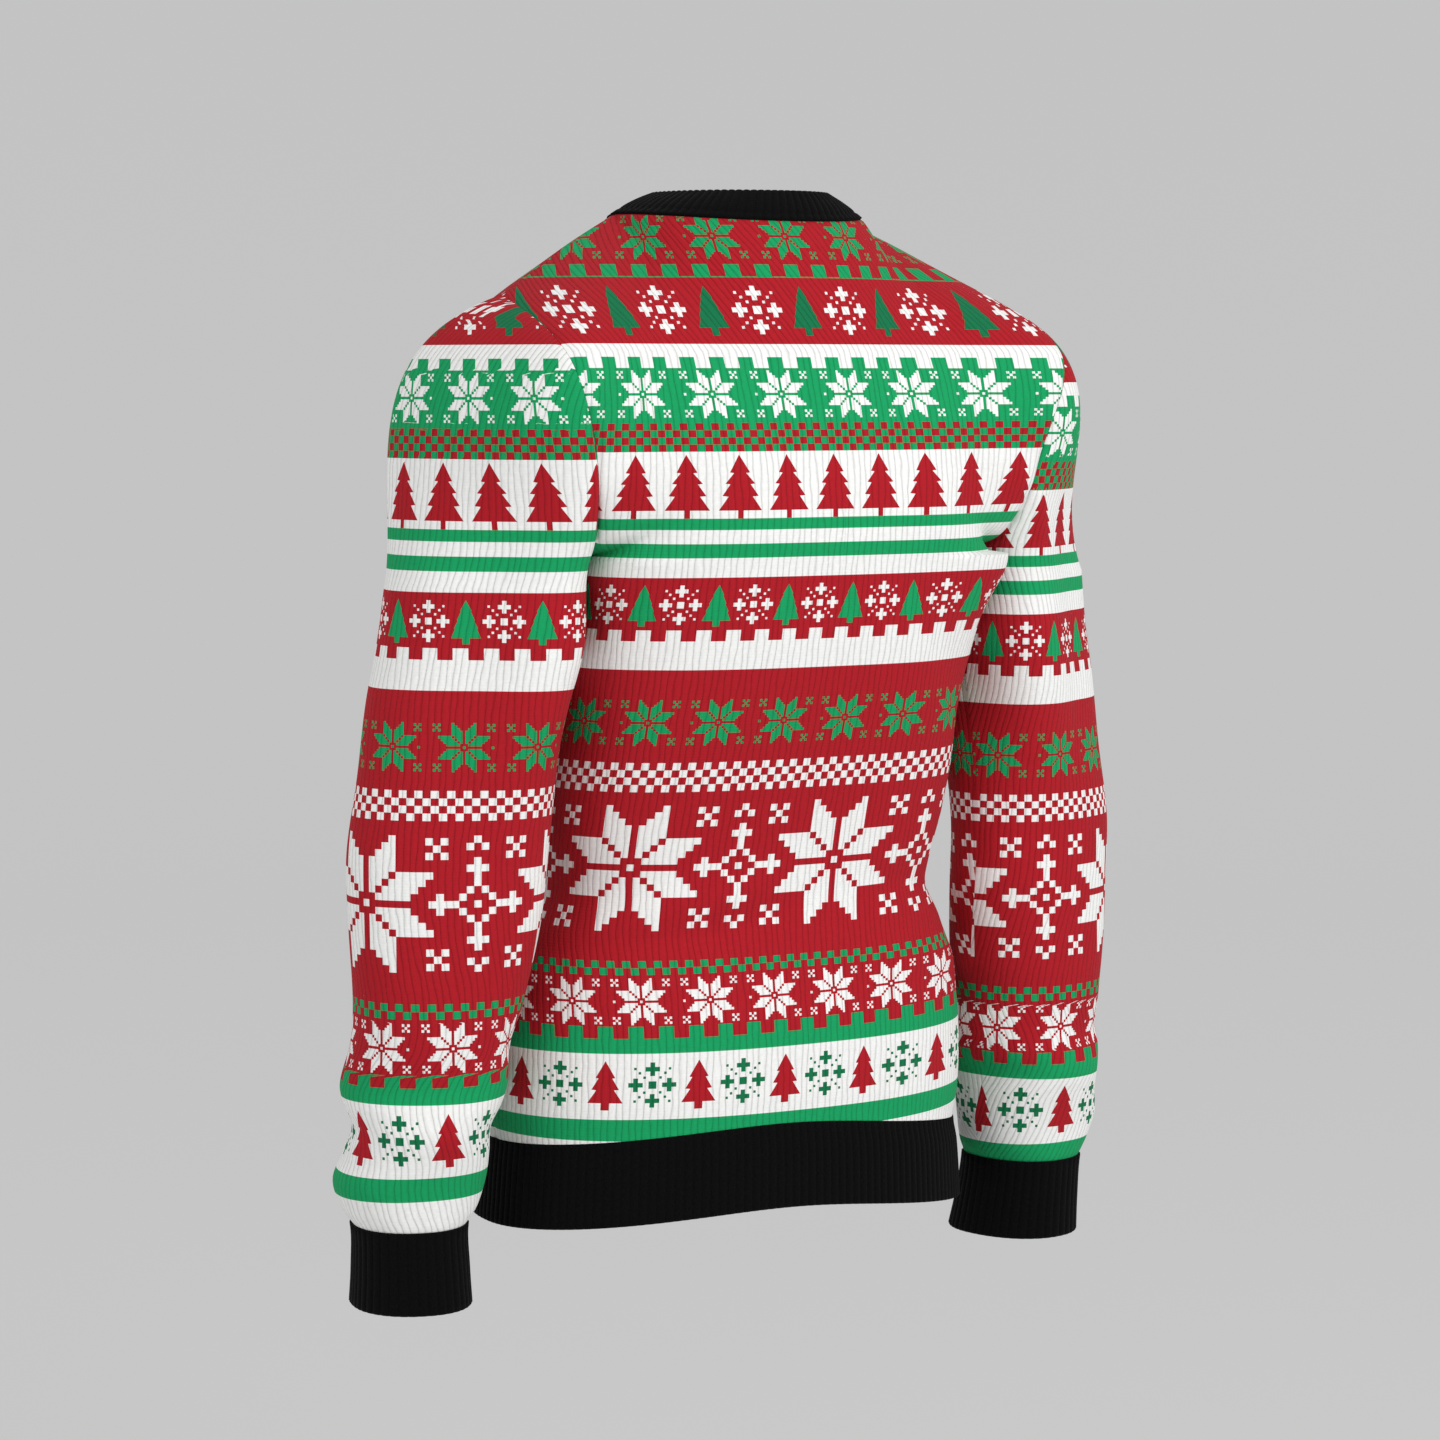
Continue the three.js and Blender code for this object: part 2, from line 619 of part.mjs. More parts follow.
function sleeve(name, grid) {
  const out = normals(grid, true);
  const edge = grid.length - 1;
  out[edge] = grid[edge].map(armholeNormal);
  return wall(name, grid, out, true, RED);
}

// The other hand's grid: X changes sign and each row runs the other way
function otherHand(grid) {
  return grid.map((row) => [row[0], ...row.slice(1).reverse()].map(([x, y, z]) => [-x, y, z]));
}

const sweater = new THREE.Group();
sweater.add(panel("back", 1));
sweater.add(panel("front", -1));
sweater.add(sleeve("sleeve_left", sleeveGrid()));
sweater.add(sleeve("sleeve_right", otherHand(sleeveGrid())));
sweater.add(neckband());
sweater.add(hemBand());
sweater.add(ribbed("cuff_left", cuffGrid(), BLACK));
sweater.add(ribbed("cuff_right", otherHand(cuffGrid()), BLACK));

export default sweater;
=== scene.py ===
"""A knitted christmas sweater in worn shape: fair isle jersey with black ribbed bands.

Sizes below are in millimetres and turn to metres when a mesh is made. Front faces -Y and
the wearer's left side is +X. Every cloth piece is a function of two parameters on a grid:
how far round the piece, and how far up it. Its inner wall lies a thickness inside.
"""

import math

import bpy
import numpy as np
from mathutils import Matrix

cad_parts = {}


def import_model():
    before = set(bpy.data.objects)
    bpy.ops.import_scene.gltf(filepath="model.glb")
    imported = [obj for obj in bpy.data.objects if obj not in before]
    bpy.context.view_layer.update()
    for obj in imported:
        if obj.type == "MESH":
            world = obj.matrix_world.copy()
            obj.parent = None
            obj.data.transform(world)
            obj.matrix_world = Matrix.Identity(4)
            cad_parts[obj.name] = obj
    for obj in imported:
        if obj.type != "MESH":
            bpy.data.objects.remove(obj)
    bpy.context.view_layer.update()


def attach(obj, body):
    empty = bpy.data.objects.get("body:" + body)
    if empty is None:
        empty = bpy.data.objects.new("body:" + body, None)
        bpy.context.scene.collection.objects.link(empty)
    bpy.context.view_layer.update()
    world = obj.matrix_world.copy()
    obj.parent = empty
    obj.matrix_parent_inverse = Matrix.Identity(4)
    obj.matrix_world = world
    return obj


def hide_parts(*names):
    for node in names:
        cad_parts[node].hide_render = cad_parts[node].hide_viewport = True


MM = 0.001
WALL = 2.0
BAND_WALL = 2.2
SEAM_GAP = 0.3
CHEST_LEVEL = -235
HEM_SEAM_LEVEL = -643
HEM_LEVEL = -700
ARM_TOP_LEVEL = -252
CUFF_SEAM_LEVEL = -688
CUFF_LEVEL = -744
TIP = np.array([193.0, 2.0, -57.0])
SHOULDER_SHARE = 0.17
HEM_RIBS = 160
NECK_RIBS = 92
CUFF_RIBS = 42
RIB_HEIGHT = 0.9

# Points in a grid: columns of a half, rows below and above the chest; the same of a sleeve's
# tube and cap; rows of a band
PANEL_COLUMNS, LOWER_ROWS, UPPER_ROWS = 181, 132, 72
SLEEVE_COLUMNS, TUBE_ROWS, CAP_ROWS = 160, 150, 56
BAND_ROWS = 12

# Where the photograph was taken: azimuth and tilt in degrees, distance and height in metres;
# the focal length and the sideways shift are in pixels of the picture
VIEW_AZIMUTH, VIEW_TILT = 150, 4.84
VIEW_DISTANCE, VIEW_HEIGHT = 2.85, -0.111
PICTURE, FOCAL, SHIFT = 1440, 4075, -30

# Middle of the line through both armholes; the cloth's cut edges there point away from it
HOLE = np.array([0, 15, -150])
# How deep and how wide a sewn edge rolls in
ROLL_DEPTH, ROLL_WIDTH = 0.9, 2.2
# How much of its side the torso's angle is drawn to the corners
CORNER_DRAW = 0.09
# The hem's sway: the level where it starts, the height over which it grows, its tilt and its
# drop, and its rise in the middle of the back and of the front
SWAY = (-430, 210, 5, 2, 19, 6)
NECK_SQUARE, NECK_DIP = 2.2, 1.6
# Columns beside an armhole are drawn together from this level up, at most by this share
DRAW_LEVEL = -420
EDGE_DRAW = {1: 0.115, -1: 0.09}
# Share where a column stops meeting the armhole, and how far its end reaches down there, in
# the middle of the back and in the middle of the front
INNER_START = 0.102
REACH, MIDDLE_REACH = 84, {1: 62, -1: 40}
# How far the shoulder blades stand out, at what share, and how wide they are
BLADE_OUT, BLADE_SHARE, BLADE_SPREAD = 12, 0.18, 0.1
# Wales lean on the yoke by this part of the height above this level
YOKE_LEAN, YOKE_LEVEL = 0.55, -95

# Rings of the neck: half width, y, depth behind and in front, height of its sides, and how
# far it sinks behind and in front.
NECK = (91.0, -30.0, 90.0, 78.0, 0.0, 6.0, 84.0)
COLLAR = (62.0, -24.0, 70.0, 66.0, 14.5, 0.0, 70.0)

# level, y, half width, half depth behind and in front, squareness, dent under the arm
TORSO = np.array(
    [
        [-700, -45, 183, 122, 128, 2.3, 0],
        [-660, -45, 180, 121, 128, 2.3, 0],
        [-643, -46, 178, 119, 127, 2.3, 0],
        [-620, -46, 182, 121, 129, 2.3, 0],
        [-575, -45, 181, 121, 130, 2.35, 0],
        [-530, -43, 175, 114, 127, 2.4, 0],
        [-500, -41, 163, 109, 125, 2.45, 0],
        [-467, -38, 150, 106, 124, 2.5, 2],
        [-420, -32, 157, 109, 124, 2.6, 4],
        [-338, -16, 165, 118, 127, 2.7, 9],
        [-290, -6, 166, 121, 129, 2.8, 14],
        [-235, 6, 168, 119, 131, 3.0, 20],
    ]
)
# level, x, y, half width towards the body and away from it, half depth, turn, squareness,
# and the lobe of cloth pushed back behind the underarm
ARM = np.array(
    [
        [-746, 247, -37, 40, 42, 49, -15, 2.2, 0],
        [-720, 249, -34, 39, 40, 46, -15, 2.2, 0],
        [-688, 251, -31, 39, 40, 44, -15, 2.2, 0],
        [-677, 252, -30, 46, 46, 45, -12, 2.2, 0],
        [-657, 252, -27, 51, 53, 47, -10, 2.2, 0],
        [-638, 249, -24, 49, 49, 52, -14, 2.2, 0],
        [-620, 245, -22, 46, 48, 58, -20, 2.2, 0],
        [-604, 243, -19, 51, 57, 54, -23, 2.2, 0],
        [-590, 243, -17, 54, 60, 48, -25, 2.2, 0],
        [-562, 241, -13, 52, 56, 51, -12, 2.2, 0],
        [-535, 239, -8, 57, 58, 51, -12, 2.2, 0],
        [-480, 236, -2, 64, 66, 50, -20, 2.15, 0],
        [-433, 235, 1, 67, 69, 49, -22, 2.15, 0],
        [-380, 226, 2, 63, 70, 50, -24, 2.15, 8],
        [-331, 216, 2, 57, 73, 54, -25, 2.15, 20],
        [-290, 208, 1, 54, 72, 57, -25, 2.15, 28],
        [-252, 205, 0, 51, 69, 58, -24, 2.15, 28],
    ]
)
BACK_ARMHOLE = [
    [160, 70, -225],
    [170, 97, -192],
    [175, 104, -164],
    [182, 109, -140],
    [189, 110, -118],
    [194, 102, -99],
    [196, 82, -84],
    [196, 46, -69],
]
FRONT_ARMHOLE = [
    [155, -42, -222],
    [162, -74, -190],
    [165, -86, -155],
    [171, -84, -118],
    [180, -70, -88],
    [189, -38, -66],
]
# half (1 back, -1 front), share, level, spreads of both, climb, depth
FOLDS = [
    [1, 0.2, -497, 0.16, 13, 70, -4.0],
    [1, 0.24, -470, 0.17, 14, 60, 2.5],
    [1, 0.86, -470, 0.1, 12, -90, -3.0],
    [1, 0.8, -520, 0.15, 14, -60, 2.5],
    [1, 0.13, -300, 0.07, 40, 500, -3.0],
    [1, 0.87, -322, 0.08, 40, -400, -7.0],
    [1, 0.885, -240, 0.05, 27, 0, 12.0],
    [-1, 0.2, -500, 0.17, 14, 60, -3.5],
    [-1, 0.78, -480, 0.16, 13, -70, -3.5],
    [-1, 0.5, -560, 0.22, 15, 20, 2.0],
    [-1, 0.14, -290, 0.07, 38, 450, -3.0],
    [-1, 0.86, -290, 0.07, 38, -450, -3.0],
]


def smooth(t):
    """3tt - 2ttt, from 0 to 1."""
    return t * t * (3 - 2 * t)


def bell(d):
    """e to the power of minus d squared."""
    return np.exp(-d * d)


def unit(vectors):
    """Each vector divided by its length."""
    return vectors / np.linalg.norm(vectors, axis=-1, keepdims=True)


def stack(*parts):
    """Points from their x, y and z arrays."""
    return np.stack(np.broadcast_arrays(*parts), axis=-1).astype(float)


def through(keys, rows, at):
    """Smooth curve through rows at rising keys: a cubic between each two, whose slope at a
    key is the difference of its neighbours divided by the distance of their keys."""
    keys, rows = np.asarray(keys, float), np.asarray(rows, float)
    last = len(keys) - 1
    at = np.clip(at, keys[0], keys[-1])
    k = np.clip(np.searchsorted(keys, at, side="right") - 1, 0, last - 1)
    low, high = np.maximum(np.arange(last + 1) - 1, 0), np.minimum(np.arange(last + 1) + 1, last)
    slopes = (rows[high] - rows[low]) / (keys[high] - keys[low])[:, None]
    span = (keys[k + 1] - keys[k])[..., None]
    s = (at - keys[k])[..., None] / span
    start = rows[k] * (2 * s**3 - 3 * s**2 + 1) + slopes[k] * (s**3 - 2 * s**2 + s) * span
    return start + rows[k + 1] * (3 * s**2 - 2 * s**3) + slopes[k + 1] * (s**3 - s**2) * span


def section(table, level):
    """The columns of a table at any level, after the level itself."""
    return np.moveaxis(through(table[:, 0], table[:, 1:], level), -1, 0)


def rounded(cosine, sine, wide, deep, square):
    """Distance to a rounded box at an angle: (|c/wide|^n + |s/deep|^n) to the power -1/n."""
    return (np.abs(cosine / wide) ** square + np.abs(sine / deep) ** square) ** (-1 / square)


def body(level, share, half):
    """A point of the torso: a rounded box round (0, y) at an angle of half a turn times the
    share, drawn towards the box's corners, with folds, the arms' dents and the hem's sway."""
    y, wide, behind, before, square, dent = section(TORSO, level)
    angle = np.pi * (share + CORNER_DRAW * np.sin(2 * np.pi * share))
    cosine, sine = np.cos(angle), np.sin(angle)
    radius = rounded(cosine, sine, wide, behind if half > 0 else before, square)
    for side, place, height, across, along, climb, depth in FOLDS:
        if side == half:
            up = (level - height - climb * (share - place)) / along
            radius = radius + depth * bell((share - place) / across) * bell(up)
    out = radius * sine
    start, grown, tilt, drop, rise_behind, rise_before = SWAY
    grow = smooth(np.clip((start - level) / grown, 0, 1))
    rise = (rise_behind if half > 0 else rise_before) * np.abs(sine) ** 1.5
    sway = grow * (tilt * cosine - drop + rise)
    across = radius * cosine - np.sign(cosine) * dent * bell(out / 62)
    return stack(across, y + half * out, level + sway)


def oval(ring, share, half):
    """A ring of the neck: x = a cos^(2/2.2), y = y0 + b sin^(2/2.2), z sinks by sin^1.6."""
    wide, y, behind, before, rise, sink_behind, sink_before = ring
    cosine, sine = np.cos(np.pi * share), np.abs(np.sin(np.pi * share))
    x = wide * np.sign(cosine) * np.abs(cosine) ** (2 / NECK_SQUARE)
    deep, sink = (behind, sink_behind) if half > 0 else (before, sink_before)
    return stack(x, y + half * deep * sine ** (2 / NECK_SQUARE), rise - sink * sine**NECK_DIP)


def top_edge(near, half):
    """Upper edge of a half's left side: an arched shoulder seam, then the neck ring."""
    along = np.clip(near / SHOULDER_SHARE, 0, 1)[..., None]
    seam = TIP * (1 - along) + oval(NECK, np.zeros(1), half) * along
    seam = seam + np.array([0, 0, 2.5]) * np.sin(np.pi * along)
    past = np.maximum(near - SHOULDER_SHARE, 0) / (0.5 - SHOULDER_SHARE) * 0.5
    return np.where((near < SHOULDER_SHARE)[..., None], seam, oval(NECK, past, half))


def bezier(a, b, c, d, t):
    """Cubic curve from a to d that leaves towards b and arrives from c."""
    s = 1 - t
    return a * s**3 + 3 * b * s**2 * t + 3 * c * s * t**2 + d * t**3


def armhole(t, half):
    """The left armhole, from the underarm at 0 to the shoulder tip at 1 by chord length."""
    knots = BACK_ARMHOLE if half > 0 else FRONT_ARMHOLE
    points = np.vstack([body(np.array(CHEST_LEVEL), np.array(0.0), half), knots, TIP])
    keys = np.concatenate([[0], np.cumsum(np.linalg.norm(np.diff(points, axis=0), axis=1))])
    return through(keys, points, t * keys[-1])


def edge_draw(t, half):
    """How far the armhole's edge has moved round its ring, in shares of a half."""
    return EDGE_DRAW[half] * np.sin(np.pi * np.maximum(t, 0) ** 0.75)


def drawn(share, t, half):
    """Shares of the columns, drawn together beside an armhole."""
    near = np.minimum(share, 1 - share)
    fade = np.where(t < 0, smooth(1 + np.minimum(t, 0)), 1)
    inner = edge_draw(np.maximum(t, 0) * 0.96 + 0.04, half) * fade
    edge = np.where(t < 0, 0, edge_draw(t, half))
    moved = near + (1 - 2 * near) ** 2 * (inner + (edge - inner) * bell(near / 0.03))
    return np.where(share <= 0.5, moved, 1 - moved)


def column(near, t, half):
    """A free column of the upper body: it goes on from the chest and meets the top edge from
    the side that it faces, and the shoulder blades stand out of it."""
    start, below = (body(np.array(level), near, half) for level in (CHEST_LEVEL, CHEST_LEVEL - 30))
    end = top_edge(near, half)
    inward = smooth(np.clip((near - INNER_START) / (0.5 - INNER_START), 0, 1))
    lean = 1.15 * (1 - inward) + 0.6 * inward
    reach = REACH * (1 - inward) + MIDDLE_REACH[half] * inward
    rise = 0.36 * (end[..., 2] - CHEST_LEVEL) / 30
    second = start + (start - below) * rise[..., None]
    third = end + stack(0 * lean, half * np.sin(lean), -np.cos(lean)) * reach[..., None]
    points = bezier(start, second, third, end, t[..., None])
    blade = bell((near - BLADE_SHARE) / BLADE_SPREAD)
    points[..., 1] += half * BLADE_OUT * np.sin(np.pi * t) * blade
    return points


def upper(share, t, half):
    """The upper body: free columns, pulled to the armhole within a bell of its edge."""
    near = np.minimum(share, 1 - share)
    free = column(drawn(near, t, half), t, half)
    miss = armhole(t, half) - column(edge_draw(t, half), t, half)
    points = free + miss * bell(near / 0.11)[..., None]
    points[..., 0] *= np.where(share <= 0.5, 1, -1)
    return points


def arm(level, angle):
    """A point of the left arm: a turned, rounded box. The angle is 0 on the body's side and
    turns through the back."""
    x, y, inner, outer, deep, turn, square, lobe = section(ARM, level)
    cosine, sine = np.cos(angle), np.sin(angle)
    radius = rounded(cosine, sine, np.where(cosine > 0, inner, outer), deep, square)
    radius = radius + lobe * bell((angle - 0.8) / 0.5)
    u, v, turn = -radius * cosine, radius * sine, np.radians(turn)
    cosine, sine = np.cos(turn), np.sin(turn)
    return stack(x + u * cosine - v * sine, y + u * sine + v * cosine, level)


def cap(angle, t):
    """The left sleeve's cap, a cubic curve from the armhole at 0 to the tube at 1."""
    back = angle <= np.pi
    place = np.where(back, angle, 2 * np.pi - angle) / np.pi
    edge = np.where(back[..., None], armhole(place, 1), armhole(place, -1))
    end = arm(np.array(ARM_TOP_LEVEL), angle)
    outer = (1 - np.cos(angle)) / 2
    behind = np.maximum(0, np.sin(angle)) * outer
    out = stack(0.35 + 0.65 * outer**2, 0.12 * np.sin(angle) - 0.3 * outer, 0.7 * outer**2 - 1.05)
    length = np.linalg.norm(end - edge, axis=-1)
    start = edge + np.array([SEAM_GAP, 0, 0])
    leave = start + unit(out) * (length * (0.32 + 0.2 * outer - 0.22 * behind))[..., None]
    back_up = stack(-0.2 * outer - 0.45 * behind, 0 * outer, 0 * outer + 1)
    arrive = end + back_up * (length * (0.42 - 0.14 * outer))[..., None]
    return bezier(start, leave, arrive, end, t[..., None])


def normals(grid, closed):
    """Outward unit normals of a grid: the way round crossed with the way up."""
    round_it = np.roll(grid, -1, 1) - np.roll(grid, 1, 1) if closed else np.gradient(grid, axis=1)
    return unit(np.cross(round_it, np.gradient(grid, axis=0)))


def level_lengths(points, middle):
    """How far each point lies round its piece from the middle column, measured level: each
    column is read at the same heights, and the steps between columns are added up."""
    heights = np.linspace(points[..., 2].min(), points[..., 2].max(), 320)
    columns = np.moveaxis(points, 1, 0)
    flat = [[np.interp(heights, c[:, 2], c[:, axis]) for axis in (0, 1)] for c in columns]
    steps = np.hypot(*np.moveaxis(np.diff(np.array(flat), axis=0), 1, 0))
    lengths = np.concatenate([np.zeros((1, len(heights))), np.cumsum(steps, axis=0)])
    lengths -= lengths[middle]
    return np.array([np.interp(c[:, 2], heights, row) for c, row in zip(columns, lengths)]).T


def upright(points, chart, mirror):
    """A line down the sleeve that the camera sees upright: at each height, how far round the
    sleeve the point of its seen side lies that is UPRIGHT_LINE across the camera's picture.
    A mirrored sleeve has a mirrored camera."""
    turn = math.radians(VIEW_AZIMUTH) * mirror
    right = np.array([math.cos(turn), math.sin(turn)])
    towards = np.array([math.sin(turn), -math.cos(turn)])
    heights = np.linspace(points[..., 2].min(), points[..., 2].max(), 160)
    columns = np.moveaxis(np.concatenate([points, chart[..., :1]], -1), 1, 0)
    read = [[np.interp(heights, c[:, 2], c[:, axis]) for axis in (0, 1, 3)] for c in columns]
    line = []
    for x, y, round_it in np.moveaxis(np.array(read), -1, 0).swapaxes(1, 2):
        across, near = right[0] * x + right[1] * y, towards[0] * x + towards[1] * y
        seen = near > near.mean()
        order = np.argsort(across[seen])
        line.append(np.interp(UPRIGHT_LINE, across[seen][order], round_it[seen][order]))
    return heights, np.array(line)


def from_hole(points):
    """Unit vectors square to an armhole's opening, out from its middle."""
    return unit((points - HOLE) * np.array([0, 1, 1]))


def rolled(distance):
    """How far the cloth has rolled in, at a distance from its sewn edge."""
    return ROLL_DEPTH * bell(distance / ROLL_WIDTH)[..., None]


def mesh_piece(name, points, faces, maps, coats, coat, crisp=None):
    """Makes an object from points in millimetres, quads, its UV maps as a name, places and
    the place of each corner, its materials and the material of each quad."""
    mesh = bpy.data.meshes.new(name)
    mesh.vertices.add(len(points))
    mesh.vertices.foreach_set("co", (points * MM).astype(np.float32).ravel())
    mesh.loops.add(faces.size)
    mesh.loops.foreach_set("vertex_index", faces.astype(np.int32).ravel())
    mesh.polygons.add(len(faces))
    mesh.polygons.foreach_set("loop_start", np.arange(0, faces.size, 4, dtype=np.int32))
    mesh.polygons.foreach_set("material_index", coat.astype(np.int32))
    mesh.polygons.foreach_set("use_smooth", np.ones(len(faces), bool))
    mesh.update(calc_edges=True)
    for title, places, corners in maps:
        layer = mesh.uv_layers.new(name=title)
        layer.data.foreach_set("uv", places[corners.ravel()].astype(np.float32).ravel())
    if crisp:
        mesh.set_sharp_from_angle(angle=crisp)
    for material in coats:
        mesh.materials.append(material)
    piece = bpy.data.objects.new(name, mesh)
    bpy.context.scene.collection.objects.link(piece)
    return piece


def quads(rows, columns, closed, wide):
    """Corner numbers of a grid's quads, counted in rows of the given width."""
    across = np.arange(columns if closed else columns - 1)
    i, j = np.meshgrid(np.arange(rows - 1), across, indexing="ij")
    low, high, right = i * wide, (i + 1) * wide, (j + 1) % wide
    return np.stack([low + j, low + right, high + right, high + j], -1).reshape(-1, 4)


def cloth(name, outer, inner, maps, closed, coats):
    """A cloth wall: an outer and an inner grid, and a rim along each free edge. Rows run up
    and columns anticlockwise seen from above. A map of a closed wall has one column more."""
    rows, columns = outer.shape[:2]
    total, wide = rows * columns, columns + 1 if closed else columns
    shell, print_on = quads(rows, columns, closed, columns), quads(rows, columns, closed, wide)
    i, j = np.arange(rows - 1), np.arange(columns if closed else columns - 1)
    k, top = (j + 1) % columns, (rows - 1) * columns
    rims = [
        np.stack([total + j, total + k, k, j], -1),
        np.stack([top + j, top + k, total + top + k, total + top + j], -1),
    ]
    charted = [start + np.stack([j, j + 1, j + 1, j], -1) for start in (0, (rows - 1) * wide)]
    if not closed:
        low, high, last = i * columns, (i + 1) * columns, columns - 1
        rims.append(np.stack([total + low, low, high, total + high], -1))
        rims.append(np.stack([low + last, total + low + last, total + high + last, high + last], -1))
        charted += [start + np.stack([low, low, high, high], -1) for start in (0, last)]
    faces = np.concatenate([shell, total + shell[:, ::-1], *rims])
    corners = np.concatenate([print_on, print_on[:, ::-1], *charted])
    coat = np.zeros(len(faces))
    coat[len(shell) : 2 * len(shell)] = 1
    points = np.concatenate([outer.reshape(-1, 3), inner.reshape(-1, 3)])
    maps = [(title, places.reshape(-1, 2), corners) for title, places in maps.items()]
    return mesh_piece(name, points, faces, maps, coats, coat, math.radians(50))


# How far round a half, and where that lies on the print's chart: beside its right side seam
# the cloth is stretched a little.
SIDE_SPREAD = ([-400, 60, 260], [-400, 60, 220])


def panel(name, half, coats):
    """Front or back, from the hem seam up to shoulders and neck. Its edges roll in a little
    where they are sewn, its side and shoulder walls meet in a plane across Y, and its walls
    at an armhole are cut square to the opening."""
    shares = np.linspace(0, 1, PANEL_COLUMNS)[::half]
    levels = np.linspace(HEM_SEAM_LEVEL, CHEST_LEVEL, LOWER_ROWS)[:, None]
    t = np.clip((levels - CHEST_LEVEL) / (CHEST_LEVEL - DRAW_LEVEL), -1, 0) - 1e-9
    lower = body(levels + 0 * shares, drawn(shares, t, half), half)
    steps = np.linspace(0, 1, UPPER_ROWS)[1:, None] + 0 * shares
    outer = np.concatenate([lower, upper(shares + 0 * steps, steps, half)])
    outer[..., 1] += half * SEAM_GAP / 2
    chart = np.stack([level_lengths(outer, PANEL_COLUMNS // 2), outer[..., 2]], -1)
    out = normals(outer, False)
    seam = [0, -1]
    side = unit(out[:, seam] * np.array([1, 0, 1]))
    below = (np.arange(len(outer)) < LOWER_ROWS - 1)[:, None, None]
    out[:, seam] = np.where(below, side, from_hole(outer[:, seam]))
    near = np.minimum(shares, 1 - shares)
    shoulder, neck = (near <= SHOULDER_SHARE) & (near > 0), near > SHOULDER_SHARE
    out[-1, shoulder] = unit(out[-1, shoulder] * np.array([1, 0, 1]))
    out[-1, neck] = band_normals(shares[neck], half)
    roll = np.minimum(edge_distance(outer, 1), edge_distance(outer, 0, top_only=True))
    outer = outer - out * rolled(roll)
    spread = np.interp(chart[..., 0] * half, *SIDE_SPREAD)
    maps = {"chart": np.stack([spread, chart[..., 1]], -1), "cloth": leaning(chart)}
    return cloth(name, outer, outer - out * WALL, maps, False, coats)


def leaning(chart):
    """The cloth's own places: its wales lean on the yoke."""
    lean = YOKE_LEAN * np.maximum(chart[..., 1] - YOKE_LEVEL, 0)
    return chart + np.stack([lean, 0 * lean], -1)


def edge_distance(grid, axis, top_only=False):
    """Distance of each point along its row or column from the grid's nearest edge."""
    steps = np.linalg.norm(np.diff(grid, axis=axis), axis=-1)
    pad = np.zeros_like(np.take(steps, [0], axis=axis))
    along = np.concatenate([pad, np.cumsum(steps, axis=axis)], axis=axis)
    rest = np.take(along, [-1], axis=axis) - along
    return rest if top_only else np.minimum(along, rest)


def band_normals(shares, half):
    """Outward normals of the neckband where a panel's neck edge meets it."""
    near = np.minimum(shares, 1 - shares)
    past = (near - SHOULDER_SHARE) / (0.5 - SHOULDER_SHARE) * 0.5
    along = oval(NECK, past + 0.01, half) - oval(NECK, np.maximum(past - 0.01, 0), half)
    across = unit(np.cross(along, oval(COLLAR, past, half) - oval(NECK, past, half))) * half
    across[..., 0] *= np.where(shares <= 0.5, 1, -1)
    return across


def sleeve_left_grid():
    """The left sleeve from the cuff seam up, the same closed by its first column, and its
    chart."""
    angles = 2 * np.pi * (1 - np.arange(SLEEVE_COLUMNS) / SLEEVE_COLUMNS)
    angles[0] = 0
    levels = np.linspace(CUFF_SEAM_LEVEL, ARM_TOP_LEVEL, TUBE_ROWS)[:, None]
    tube = arm(levels + 0 * angles, angles + 0 * levels)
    steps = np.linspace(1, 0, CAP_ROWS)[1:, None]
    top = cap(angles + 0 * steps, steps + 0 * angles)
    grid = np.concatenate([tube, top])
    around = np.concatenate([grid, grid[:, :1]], axis=1)
    chart = np.stack([level_lengths(around, SLEEVE_COLUMNS // 2), around[..., 2]], -1)
    return grid, around, chart


# Heights on a left sleeve and the chart's levels there; the right one's print sits lower
SLEEVE_LEVELS = (
    [-688, -648.7, -597.9, -559.3, -528.2, -405.4, -385.5, -319.2, -254.3, -166.7, -91.1, 0],
    [-653, -617.2, -571.3, -536, -508.9, -391.8, -371.4, -307.6, -245.2, -161.8, -90.4, -2],
)
RIGHT_DROP = 25
# The print's upright line across the camera's picture, and how much the print is stretched
UPRIGHT_LINE = -200
SLEEVE_SCALE = 1.035
# Levels between the rows of motifs, where each row starts on the left and on the right
# sleeve, and the rows' middle levels
ROW_ENDS = [-573, -552.3, -519.3, -396.5, -366, -318, -247, -162.5, -141, -107.2, -95]
SLEEVE_STARTS = (
    [77.7, 60.7, 60.7, 57, 57, 60.6, 44.6, 49.1, 49.1, 76.9, 76.9, 31.8],
    [72, 80, 80, 72.7, 72.7, 40.1, 46.6, 65.3, 65.3, 58, 58, 31.8],
)
ROW_MIDDLES = [-593, -562, -536, -450, -380, -343.7, -265, -185, -152, -123.7, -103, -67.5]


